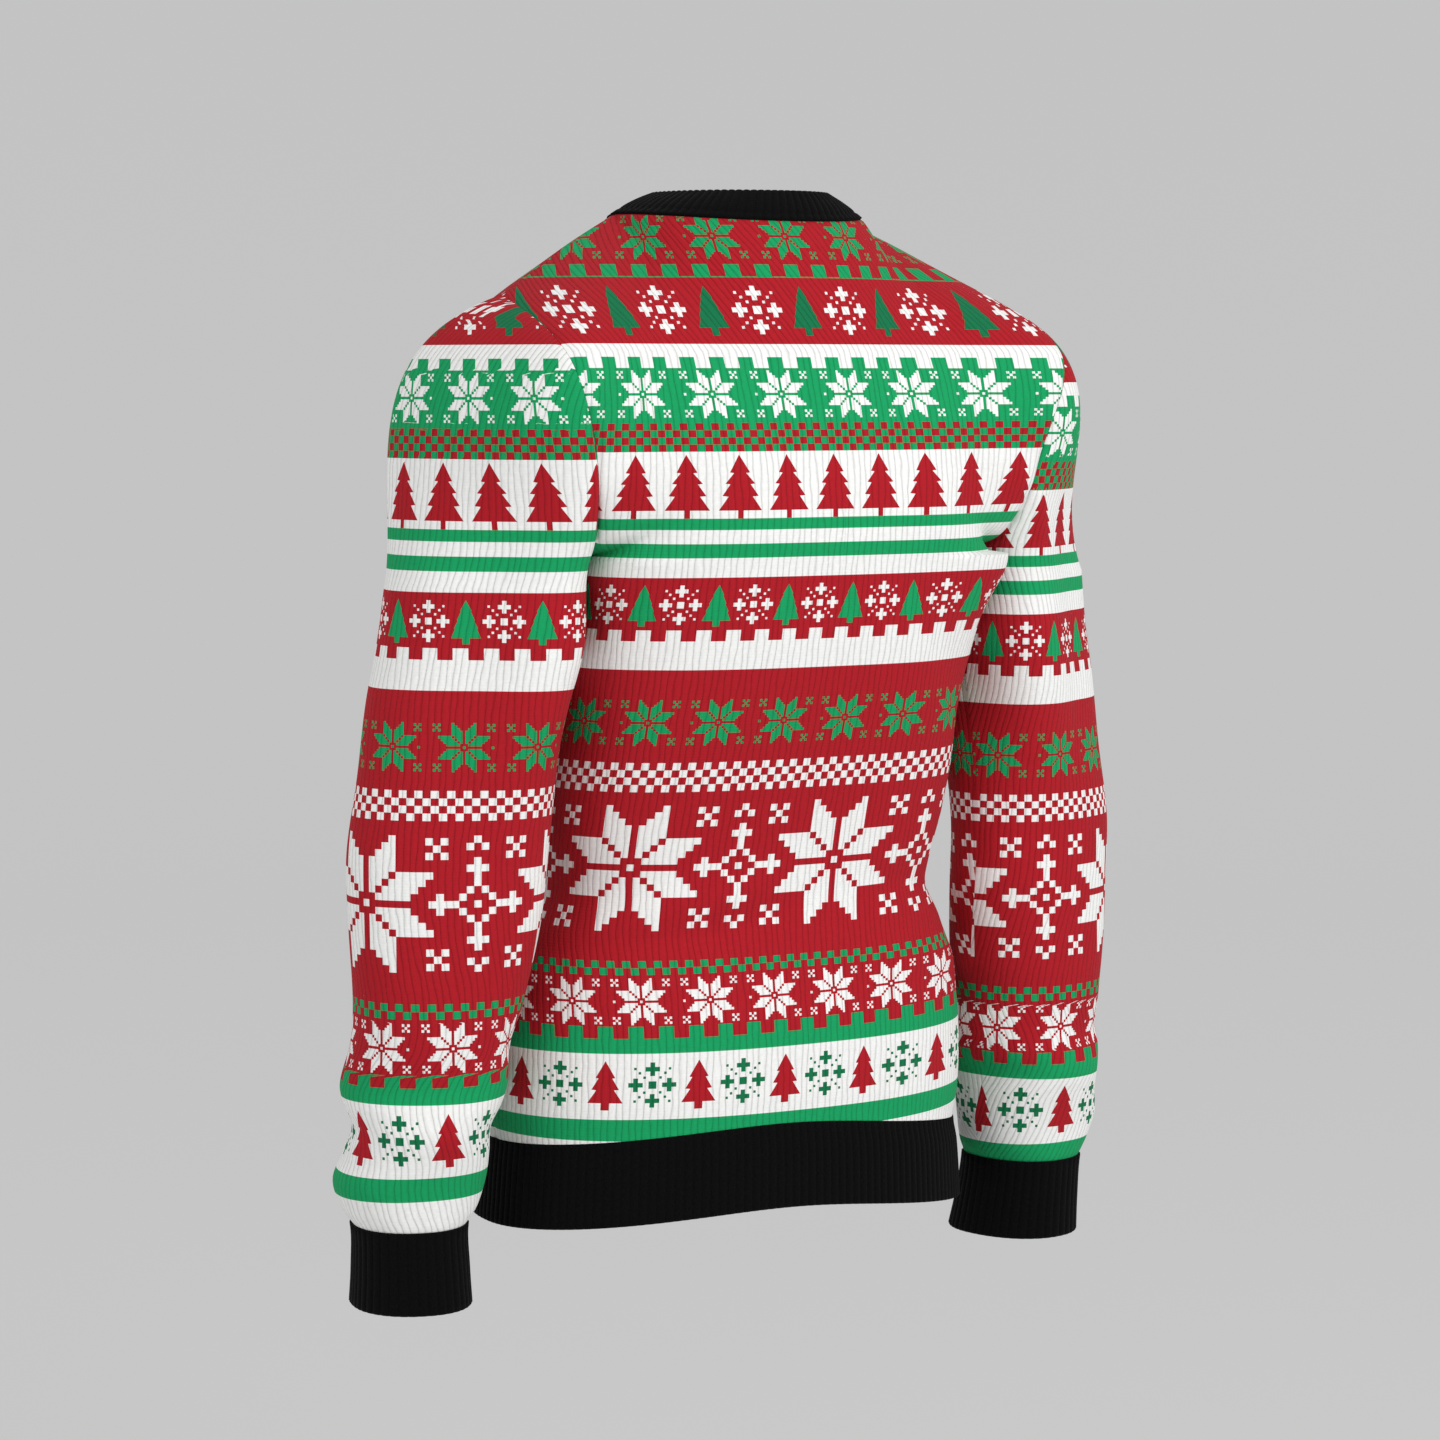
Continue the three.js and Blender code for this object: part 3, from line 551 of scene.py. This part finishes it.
def sleeve(name, left, coats):
    """A sleeve; the right one is the left one's mirror image. Its edges roll in where they
    are sewn. Each row of its print starts at its own place and is upright for the camera."""
    grid, around, chart = sleeve_left_grid()
    out = normals(grid, True)
    out[-1] = from_hole(grid[-1])
    outer = grid - out * rolled(edge_distance(grid, 0))
    inner = outer - out * WALL
    chart = chart * np.array([-1, 1])
    side, mirror, drop = (0, 1, 0) if left else (1, -1, RIGHT_DROP)
    level = np.interp(chart[..., 1] + drop, *SLEEVE_LEVELS)
    row = np.searchsorted(ROW_ENDS, level)
    heights, line = upright(around, chart, mirror)
    middles = np.interp(ROW_MIDDLES, SLEEVE_LEVELS[1], SLEEVE_LEVELS[0]) - drop
    lean = np.interp(chart[..., 1], heights, line) - np.interp(middles, heights, line)[row]
    start = np.array(SLEEVE_STARTS[side])[row]
    prints = np.stack([(chart[..., 0] - lean) / SLEEVE_SCALE + start, level], -1)
    if not left:
        flip = np.array([-1, 1, 1])
        outer, inner = (np.roll(wall[:, ::-1] * flip, 1, 1) for wall in (outer, inner))
        chart, prints = chart[:, ::-1], prints[:, ::-1]
    return cloth(name, outer, inner, {"chart": prints, "cloth": chart}, True, coats)


def even_ring(count, point_at):
    """Points evenly spaced along a closed curve that is given for places from 0 to 1."""
    points = point_at(np.linspace(0, 1, 2881))
    lengths = np.concatenate([[0], np.cumsum(np.linalg.norm(np.diff(points, axis=0), axis=1))])
    goals = lengths[-1] * np.arange(count) / count
    return np.stack([np.interp(goals, lengths, points[:, axis]) for axis in range(3)], -1)


def half_places(place, curve):
    """A curve given for halves, at places from 0 to 1 from the left side round the back."""
    back, front = curve(np.minimum(2 * place, 1), 1), curve(np.clip(2 - 2 * place, 0, 1), -1)
    return np.where((place <= 0.5)[..., None], back, front)


def ribbed(name, rings, ribs, fine, coats, groove=None):
    """A ribbed band from its rings of points, lowest first: ribs stand out of it as the
    0.6th power of a sine, its free edge is rounded, and the inside is plain. The profile runs
    up the outside, over the upper edge, down the inside and under the lower edge."""
    grid = np.stack(rings)
    out = normals(grid, True)
    place = np.arange(grid.shape[1]) / grid.shape[1]
    rib = np.abs(np.sin(np.pi * ribs * place)) ** 0.6
    along = np.linspace(0, 1, len(rings))[:, None]
    height = RIB_HEIGHT * rib + 0 * along
    if groove:
        height = height - 0.75 * bell((along - groove[0]) / groove[1])
    outside = grid + out * height[..., None]
    inside = grid - out * BAND_WALL
    loop = [outside]
    for end, rows in ((-1, (0.35, 0.65)), (0, (0.65, 0.35))):
        past = unit(grid[end] - grid[-2 if end else 1])
        for share in rows:
            swell = 1.3 * math.sin(math.pi * share) if end == fine else 0
            middle = outside[end] * (1 - share) + inside[end] * share
            loop.append((middle + past * swell)[None])
        if end:
            loop.append(inside[::-1])
    points = np.concatenate(loop)
    rows, columns = points.shape[:2]
    length = np.linalg.norm(grid[0] - np.roll(grid[0], -1, 0), axis=1).sum()
    rise = np.linalg.norm(np.diff(points, axis=0), axis=-1).mean(1).cumsum()
    u, v = np.meshgrid(np.arange(columns + 1) / columns * length, [0, *rise, 0], indexing="xy")
    chart = np.stack([u, v], -1)
    i, j = np.meshgrid(np.arange(rows), np.arange(columns), indexing="ij")
    up, right = (i + 1) % rows, (j + 1) % columns
    row, above = i * columns, up * columns
    faces = np.stack([row + j, row + right, above + right, above + j], -1)
    row, above = i * (columns + 1), (i + 1) * (columns + 1)
    corners = np.stack([row + j, row + j + 1, above + j + 1, above + j], -1)
    faces, corners = faces.reshape(-1, 4), corners.reshape(-1, 4)
    maps = [("chart", chart.reshape(-1, 2), corners)]
    return mesh_piece(name, points.reshape(-1, 3), faces, maps, coats, np.zeros(len(faces)))


def hem_band(coats):
    """The hem band, below front and back."""

    def ring(level):
        def torso(share, half):
            return body(level + 0 * share, share, half)

        return even_ring(HEM_RIBS * 8, lambda place: half_places(place, torso))

    levels = np.linspace(HEM_LEVEL, HEM_SEAM_LEVEL, BAND_ROWS) - SEAM_GAP
    return ribbed("hem_rib", [ring(level) for level in levels], HEM_RIBS, 0, coats)


def neckband(coats):
    """The neckband, from the neck edge to the collar's ring, bulging a little outwards."""

    def ring(sizes):
        def edge(share, half):
            return oval(sizes, share, half)

        return even_ring(NECK_RIBS * 8, lambda place: half_places(place, edge))

    base, crest = ring(NECK), ring(COLLAR)
    base = base + unit(crest - base) * SEAM_GAP
    steps = np.linspace(0, 1, 16)
    grid = np.stack([base * (1 - t) + crest * t for t in steps])
    grid = grid + normals(grid, True) * (1.2 * np.sin(np.pi * steps))[:, None, None]
    return ribbed("neck_rib", list(grid), NECK_RIBS, -1, coats, groove=(0.22, 0.035))


def cuff(name, left, coats):
    """A cuff; the right one is the left one's mirror image."""

    def ring(level):
        return even_ring(CUFF_RIBS * 10, lambda place: arm(level + 0 * place, 2 * np.pi * (1 - place)))

    rings = [ring(level) for level in np.linspace(CUFF_LEVEL, CUFF_SEAM_LEVEL, BAND_ROWS) - SEAM_GAP]
    if not left:
        rings = [np.roll(ring[::-1], 1, 0) * np.array([-1, 1, 1]) for ring in rings]
    return ribbed(name, rings, CUFF_RIBS, 0, coats)


def linear(code):
    """An sRGB hex colour as linear RGBA."""
    parts = np.array([int(code[i : i + 2], 16) for i in (1, 3, 5)]) / 255
    parts = np.where(parts <= 0.04045, parts / 12.92, ((parts + 0.055) / 1.055) ** 2.4)
    return (*[float(part) for part in parts], 1.0)


def add(tree, kind, *inputs, out=0, **settings):
    """Adds a node and returns an output of it. A kind in capitals is an operation of a Math
    node. Inputs come in the order of the node's sockets, or in a dict by name or number."""
    node = tree.nodes.new("ShaderNodeMath" if kind.isupper() else "ShaderNode" + kind)
    if kind.isupper():
        node.operation = kind
    for name, value in settings.items():
        setattr(node, name, value)
    named = inputs[0] if inputs and isinstance(inputs[0], dict) else dict(enumerate(inputs))
    for key, value in named.items():
        if isinstance(value, bpy.types.NodeSocket):
            tree.links.new(value, node.inputs[key])
        elif value is not None:
            node.inputs[key].default_value = value
    return node.outputs[out] if node.outputs else node


RED = linear("#AE1E28")
GREEN = linear("#1A9E60")
PINE = linear("#17744A")
WHITE = linear("#F2F2F0")

# Levels of the chart where a plain colour begins, from below; the cloth below them is white
BANDS = [
    (-632.5, GREEN),
    (-617.2, WHITE),
    (-571.3, GREEN),
    (-561.0, RED),
    (-307.6, WHITE),
    (-288.1, RED),
    (-245.2, WHITE),
    (-232.1, GREEN),
    (-222.7, WHITE),
    (-213.4, GREEN),
    (-205.8, WHITE),
    (-161.5, GREEN),
    (-106.4, WHITE),
    (-90.4, RED),
    (-45.5, GREEN),
    (-44.8, RED),
]
# low and high level, width of a check, rows of checks, colour
CHECKS = [
    (-161.5, -142.7, 5.4, 4, RED),
    (-391.8, -371.4, 5.3, 4, WHITE),
    (-518.1, -508.9, 5.4, 2, GREEN),
]
# low and high level, a tooth's middle, distance between two, colour
TEETH = [
    (-44.8, -36.5, -56.5, 21.2, GREEN),
    (-106.4, -99.1, -63.3, 21.3, GREEN),
    (-288.1, -280.6, -77.5, 20.3, WHITE),
    (-561.0, -552.8, -39.8, 20.9, GREEN),
]
# middle level, a star's place, distance between two, width and height of a stitch, colour
STARS = [
    (-17.2, -63.0, 51.5, 1.80, 1.66, GREEN),
    (-123.7, -41.5, 51.5, 1.80, 1.66, WHITE),
    (-343.7, -31.5, 48.0, 1.76, 1.66, GREEN),
    (-445.0, 26.0, 151.0, 4.91, 4.61, WHITE),
    (-536.0, -22.5, 48.0, 1.76, 1.66, WHITE),
]
FLAKES = [
    (-67.5, -46.5, 67.2, 1.75, 1.63, WHITE),
    (-263.5, -15.5, 50.0, 1.42, 1.33, WHITE),
    (-593.0, -47.8, 64.5, 1.65, 1.57, PINE),
]
# A tree's outline: share of its height from the top, and half width as a share of the
# lowest bough's. It goes back in a little below each row of boughs, and ends in the trunk.
FIR = [(0, 0), (0.32, 0.47), (0.33, 0.28), (0.52, 0.69), (0.53, 0.47), (0.74, 0.84), (0.75, 0.56), (1, 1)]
SPRUCE = [(0, 0), (0.40, 0.56), (0.41, 0.39), (0.68, 0.78), (0.69, 0.5), (1, 1)]
PINE_SHAPE = [(0, 0), (0.28, 0.38), (0.29, 0.32), (0.53, 0.6), (0.54, 0.54), (0.74, 0.8), (0.75, 0.72), (1, 1)]
# top and foot of the boughs, foot of the trunk, place, distance, half widths of the lowest
# boughs and of the trunk, outline, colour
TREES = [
    (-51.3, -79.6, -84.7, -79.5, 67.2, 10.9, 2.6, PINE_SHAPE, PINE),
    (-163.5, -200.5, -205.8, -44.0, 36.0, 15.1, 1.9, FIR, RED),
    (-250.0, -274.2, -278.0, -40.5, 50.0, 9.8, 2.4, PINE_SHAPE, GREEN),
    (-576.4, -605.6, -610.6, -15.5, 64.5, 12.2, 2.9, SPRUCE, RED),
]


def fresh(name):
    """An empty material and its node tree."""
    material = bpy.data.materials.new(name)
    material.use_nodes = True
    material.node_tree.nodes.clear()
    return material, material.node_tree


def chart_parts(tree, name):
    """The two parts of a UV map, in millimetres."""
    place = add(tree, "UVMap", uv_map=name)
    parts = add(tree, "SeparateXYZ", place).node
    return parts.outputs[0], parts.outputs[1]


def either(tree, masks):
    """1 where any of the masks is 1."""
    joined = masks[0]
    for mask in masks[1:]:
        joined = add(tree, "MAXIMUM", joined, mask)
    return joined


def folded(tree, u, v, level, place, pitch, wide, high):
    """Distances from the middle of the nearest motif of a row, in stitches, without sign."""
    across = add(tree, "PINGPONG", add(tree, "SUBTRACT", u, place), pitch / 2)
    along = add(tree, "ABSOLUTE", add(tree, "SUBTRACT", v, level))
    return add(tree, "DIVIDE", across, wide), add(tree, "DIVIDE", along, high)


def box(tree, x, y, middle_x, middle_y, half_x, half_y):
    """1 inside a box round a middle."""
    inside = add(tree, "COMPARE", x, middle_x, half_x)
    return add(tree, "MULTIPLY", inside, add(tree, "COMPARE", y, middle_y, half_y))


def star(tree, u, v, row):
    """An eight-pointed star of 19 stitches with a cross of 3 by 3 beside each corner: with a
    and b the larger and smaller distance in whole stitches, a stitch is on where b is 1 to 4
    and a - b is 1 to 5, and in the middle."""
    level, place, pitch, wide, high, _ = row
    x, y = folded(tree, u, v, level, place, pitch, wide, high)
    i, j = add(tree, "ROUND", x), add(tree, "ROUND", y)
    a, b = add(tree, "MAXIMUM", i, j), add(tree, "MINIMUM", i, j)
    petals = box(tree, b, add(tree, "SUBTRACT", a, b), 2.5, 3, 1.6, 2.1)
    p = add(tree, "ABSOLUTE", add(tree, "ROUND", add(tree, "SUBTRACT", x, 10.0)))
    q = add(tree, "ABSOLUTE", add(tree, "ROUND", add(tree, "SUBTRACT", y, 7.7)))
    cross = add(tree, "MULTIPLY", add(tree, "COMPARE", p, q, 0.1), add(tree, "LESS_THAN", p, 1.5))
    masks = [petals, add(tree, "LESS_THAN", a, 0.5), cross]
    if pitch > 100:
        masks.append(diamond(tree, u, v, row))
    else:
        side = add(tree, "WRAP", add(tree, "SUBTRACT", u, place - 10.5 * wide), pitch / 2, -pitch / 2)
        masks.append(box(tree, side, v, 0.0, level, wide / 2, high / 2))
    return either(tree, masks)


def diamond(tree, u, v, row):
    """The cross between two large stars: a stitch in a ring of eight, four arms of stitches
    3 to 6 with a bar at 5, and three stitches above and below."""
    level, place, pitch, wide, high, _ = row
    x, y = folded(tree, u, v, level, place + pitch / 2, pitch, wide, high)
    i, j = add(tree, "ROUND", x), add(tree, "ROUND", y)
    a, b = add(tree, "MAXIMUM", i, j), add(tree, "MINIMUM", i, j)
    stitches = [(a, b, 0, 0), (a, b, 2, 1), (a, b, 5, 1), (i, j, 0, 9), (i, j, 1, 8)]
    masks = [box(tree, *stitch, 0.1, 0.1) for stitch in stitches]
    return either(tree, [*masks, box(tree, a, b, 4.5, 0, 1.6, 0.1)])


def flake(tree, u, v, row):
    """A snowflake: a square, a plus sign on each side of it and dots along the diagonals."""
    level, place, pitch, wide, high, _ = row
    x, y = folded(tree, u, v, level, place, pitch, wide, high)
    a, b = add(tree, "MAXIMUM", x, y), add(tree, "MINIMUM", x, y)
    parts = [(a, b, 0, 0, 1.65, 1.65), (a, b, 7, 0, 3, 1), (a, b, 7, 0, 1, 3)]
    parts += [(a, b, k, k, 0.55, 0.55) for k in (3.3, 5.3, 7.2)]
    return either(tree, [box(tree, *part) for part in parts])


def tree_shape(tree, u, v, row):
    """A fir: across is less than the outline's half width at this height, or in the trunk."""
    top, foot, end, place, pitch, wide, trunk, outline, _ = row
    across = add(tree, "PINGPONG", add(tree, "SUBTRACT", u, place), pitch / 2)
    down = add(tree, "DIVIDE", add(tree, "SUBTRACT", top, v), top - foot)
    half = add(tree, "FloatCurve", {"Value": down})
    curve = half.node.mapping.curves[0]
    for k, (x, y) in enumerate(outline):
        point = curve.points[k] if k < 2 else curve.points.new(x, y)
        point.location = (x, y)
        point.handle_type = "VECTOR"
    half.node.mapping.update()
    inside = add(tree, "LESS_THAN", across, add(tree, "MULTIPLY", half, wide))
    above = add(tree, "COMPARE", v, (top + foot) / 2, (top - foot) / 2)
    boughs = add(tree, "MULTIPLY", inside, above)
    stem = box(tree, across, v, 0, (foot + end) / 2, trunk, (foot - end) / 2)
    return either(tree, [boughs, stem])


def fair_isle(tree):
    """The print's colour from the chart: plain bands, then a mask for each row of motifs, each
    colour laid over the ones before where its mask is 1."""
    u, v = chart_parts(tree, "chart")
    layers = [(add(tree, "GREATER_THAN", v, level), top) for level, top in BANDS]
    for low, high, wide, rows, top in CHECKS:
        across = add(tree, "FLOOR", add(tree, "DIVIDE", u, wide))
        along = add(tree, "DIVIDE", add(tree, "SUBTRACT", v, low), (high - low) / rows)
        odd = add(tree, "PINGPONG", add(tree, "ADD", across, add(tree, "FLOOR", along)), 1.0)
        layers.append((box(tree, odd, v, 1, (low + high) / 2, 0.1, (high - low) / 2), top))
    for low, high, place, pitch, top in TEETH:
        across = add(tree, "PINGPONG", add(tree, "SUBTRACT", u, place), pitch / 2)
        tooth = box(tree, across, v, 0, (low + high) / 2, pitch / 4, (high - low) / 2)
        layers.append((tooth, top))
    for shape, table in ((star, STARS), (flake, FLAKES), (tree_shape, TREES)):
        layers += [(shape(tree, u, v, row), row[-1]) for row in table]
    colour = WHITE
    for mask, top in layers:
        colour = add(tree, "Mix", {0: mask, 6: colour, 7: top}, out=2, data_type="RGBA")
    return colour


def wales(tree, pitch):
    """The cloth's own places, and the height of its knitted columns there: round ribs with
    narrow grooves between them, a little wavy."""
    u, v = chart_parts(tree, "cloth")
    place = add(tree, "CombineXYZ", add(tree, "MULTIPLY", u, 0.05), add(tree, "MULTIPLY", v, 0.012))
    wave = add(tree, "TexNoise", {"Vector": place, "Scale": 3.0, "Detail": 2.0})
    across = add(tree, "ADD", u, add(tree, "MULTIPLY", wave, 5.0))
    column = add(tree, "ABSOLUTE", add(tree, "SINE", add(tree, "MULTIPLY", across, math.pi / pitch)))
    return u, v, add(tree, "POWER", column, 0.5)


def jersey(name, reverse=False):
    """Printed rib-knit jersey of cotton and acrylic yarn: matt, with fine upright wales
    4.8 mm apart whose grooves are darkened by painted shade, and rows of stitches 2 mm high.
    The reverse side shows the print only faintly through white yarn."""
    material, tree = fresh(name)
    colour = fair_isle(tree)
    u, v, groove = wales(tree, 4.8)
    mix = {"out": 2, "data_type": "RGBA"}
    if reverse:
        colour = add(tree, "Mix", {0: 0.72, 6: colour, 7: linear("#E4E2DE")}, **mix)
    place = add(tree, "CombineXYZ", u, v)
    fleck = add(tree, "TexNoise", {"Vector": place, "Scale": 0.35, "Detail": 3.0})
    # painted shade: the colour darkens to 0.8 times in the wale grooves; the fleck below is the yarn's own
    # uneven tone
    shade = add(tree, "MapRange", groove, 0.25, 0.85, 0.80, 1.0)
    shade = add(tree, "MULTIPLY", shade, add(tree, "MapRange", fleck, 0.3, 0.7, 0.95, 1.03))
    colour = add(tree, "Mix", {0: 1.0, 6: colour, 7: shade}, blend_type="MULTIPLY", **mix)
    stitch = add(tree, "ABSOLUTE", add(tree, "SINE", add(tree, "MULTIPLY", v, math.pi / 2.0)))
    height = add(tree, "ADD", groove, add(tree, "MULTIPLY", stitch, 0.12))
    bump = add(tree, "Bump", {"Height": height, "Strength": 1.0, "Distance": 0.0005})
    cloth_shader(tree, colour, bump, 0.86, 0.03)
    return material


def cloth_shader(tree, colour, bump, roughness, sheen):
    """A matt Principled shader with the soft sheen of fibres, joined to the output."""
    shader = add(
        tree,
        "BsdfPrincipled",
        {
            "Base Color": colour,
            "Roughness": roughness,
            "Normal": bump,
            "IOR": 1.46,
            "Specular IOR Level": 0.08,
            "Sheen Weight": sheen,
            "Sheen Roughness": 0.5,
        },
    )
    add(tree, "OutputMaterial", shader)


def rib_knit(name):
    """Black double-knit rib of acrylic yarn: matt, deep black between the ribs, with fine
    upright stitches 2 mm apart on each rib."""
    material, tree = fresh(name)
    u, v = chart_parts(tree, "chart")
    place = add(tree, "CombineXYZ", u, add(tree, "MULTIPLY", v, 0.3))
    fibre = add(tree, "TexNoise", {"Vector": place, "Scale": 1.2, "Detail": 4.0})
    tone = add(tree, "MapRange", fibre, 0.3, 0.7, 0.0, 1.0)
    black, worn = linear("#040404"), linear("#0B0B0C")
    colour = add(tree, "Mix", {0: tone, 6: black, 7: worn}, out=2, data_type="RGBA")
    stitch = add(tree, "ABSOLUTE", add(tree, "SINE", add(tree, "MULTIPLY", v, math.pi / 1.8)))
    height = add(tree, "ADD", add(tree, "MULTIPLY", fibre, 0.5), add(tree, "MULTIPLY", stitch, 0.3))
    bump = add(tree, "Bump", {"Height": height, "Strength": 0.7, "Distance": 0.0004})
    cloth_shader(tree, colour, bump, 0.9, 0.02)
    return material


# Lamps: name, azimuth, height, distance, size and power, in degrees, metres and watts
LIGHTS = [
    ("key", 195, 0.9, 3.0, 1.6, 55),
    ("fill", 105, 0.3, 3.2, 2.0, 18),
]


def camera_and_lights():
    """The camera where the photograph was taken, an even white sky and two soft lamps."""
    data = bpy.data.cameras.new("camera")
    data.sensor_width = 36
    data.lens = FOCAL / PICTURE * data.sensor_width
    data.shift_x = SHIFT / PICTURE
    data.clip_end = 50
    camera = bpy.data.objects.new("camera", data)
    turn = math.radians(VIEW_AZIMUTH)
    x, y = VIEW_DISTANCE * math.sin(turn), -VIEW_DISTANCE * math.cos(turn)
    camera.location = (x, y, VIEW_HEIGHT)
    camera.rotation_euler = (math.radians(90 - VIEW_TILT), 0, turn)
    bpy.context.scene.collection.objects.link(camera)
    bpy.context.scene.camera = camera
    bpy.context.scene.view_settings.view_transform = "Standard"

    world = bpy.data.worlds.new("studio")
    world.use_nodes = True
    sky = world.node_tree.nodes["Background"]
    sky.inputs[0].default_value = (1, 1, 1, 1)
    sky.inputs[1].default_value = 0.75
    bpy.context.scene.world = world
    for name, azimuth, height, far, size, power in LIGHTS:
        lamp = bpy.data.lights.new(name, "AREA")
        lamp.size, lamp.energy = size, power
        turn = math.radians(azimuth)
        place = np.array([far * math.sin(turn), -far * math.cos(turn), height])
        holder = bpy.data.objects.new(name, lamp)
        holder.location = place
        aim = np.array([0, 0, -0.35]) - place
        tilt = math.acos(-aim[2] / np.linalg.norm(aim))
        holder.rotation_euler = (tilt, 0, math.atan2(-aim[0], aim[1]))
        bpy.context.scene.collection.objects.link(holder)


def sweep():
    """A pale floor that curves up into a wall all round: the radius and the height of a ring
    follow a quarter circle between floor and wall."""
    turn = np.linspace(0, 2 * np.pi, 97)[:-1]
    bend = np.linspace(0, np.pi / 2, 13)
    radius = np.concatenate([[0.02], 6 + 2 * np.sin(bend), [8.0]]) / MM
    height = np.concatenate([[0.0], 2 * (1 - np.cos(bend)), [7.0]]) / MM - 1250
    grid = stack(radius[:, None] * np.cos(turn), radius[:, None] * np.sin(turn), height[:, None])
    faces = quads(len(radius), len(turn), True, len(turn))
    material, tree = fresh("matt_paint")
    colours = {"Base Color": linear("#8C8C8C"), "Roughness": 1.0, "Specular IOR Level": 0.0}
    colours |= {"Emission Color": linear("#CCCCCC"), "Emission Strength": 0.62}
    add(tree, "OutputMaterial", add(tree, "BsdfPrincipled", colours))
    maps = [("chart", grid[..., :2].reshape(-1, 2) * MM, faces)]
    coat = np.zeros(len(faces))
    mesh_piece("sweep", grid.reshape(-1, 3), faces, maps, [material], coat)


def main():
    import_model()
    camera_and_lights()
    sweep()
    coats = [jersey("printed_jersey"), jersey("jersey_reverse", reverse=True)]
    rib = [rib_knit("black_rib_knit")]
    pieces = {
        "back": panel("back_jersey", 1, coats),
        "front": panel("front_jersey", -1, coats),
        "sleeve_left": sleeve("sleeve_left_jersey", True, coats),
        "sleeve_right": sleeve("sleeve_right_jersey", False, coats),
        "neckband": neckband(rib),
        "hem_band": hem_band(rib),
        "cuff_left": cuff("cuff_left_rib", True, rib),
        "cuff_right": cuff("cuff_right_rib", False, rib),
    }
    for node, piece in pieces.items():
        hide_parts(node)
        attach(piece, "root")


main()
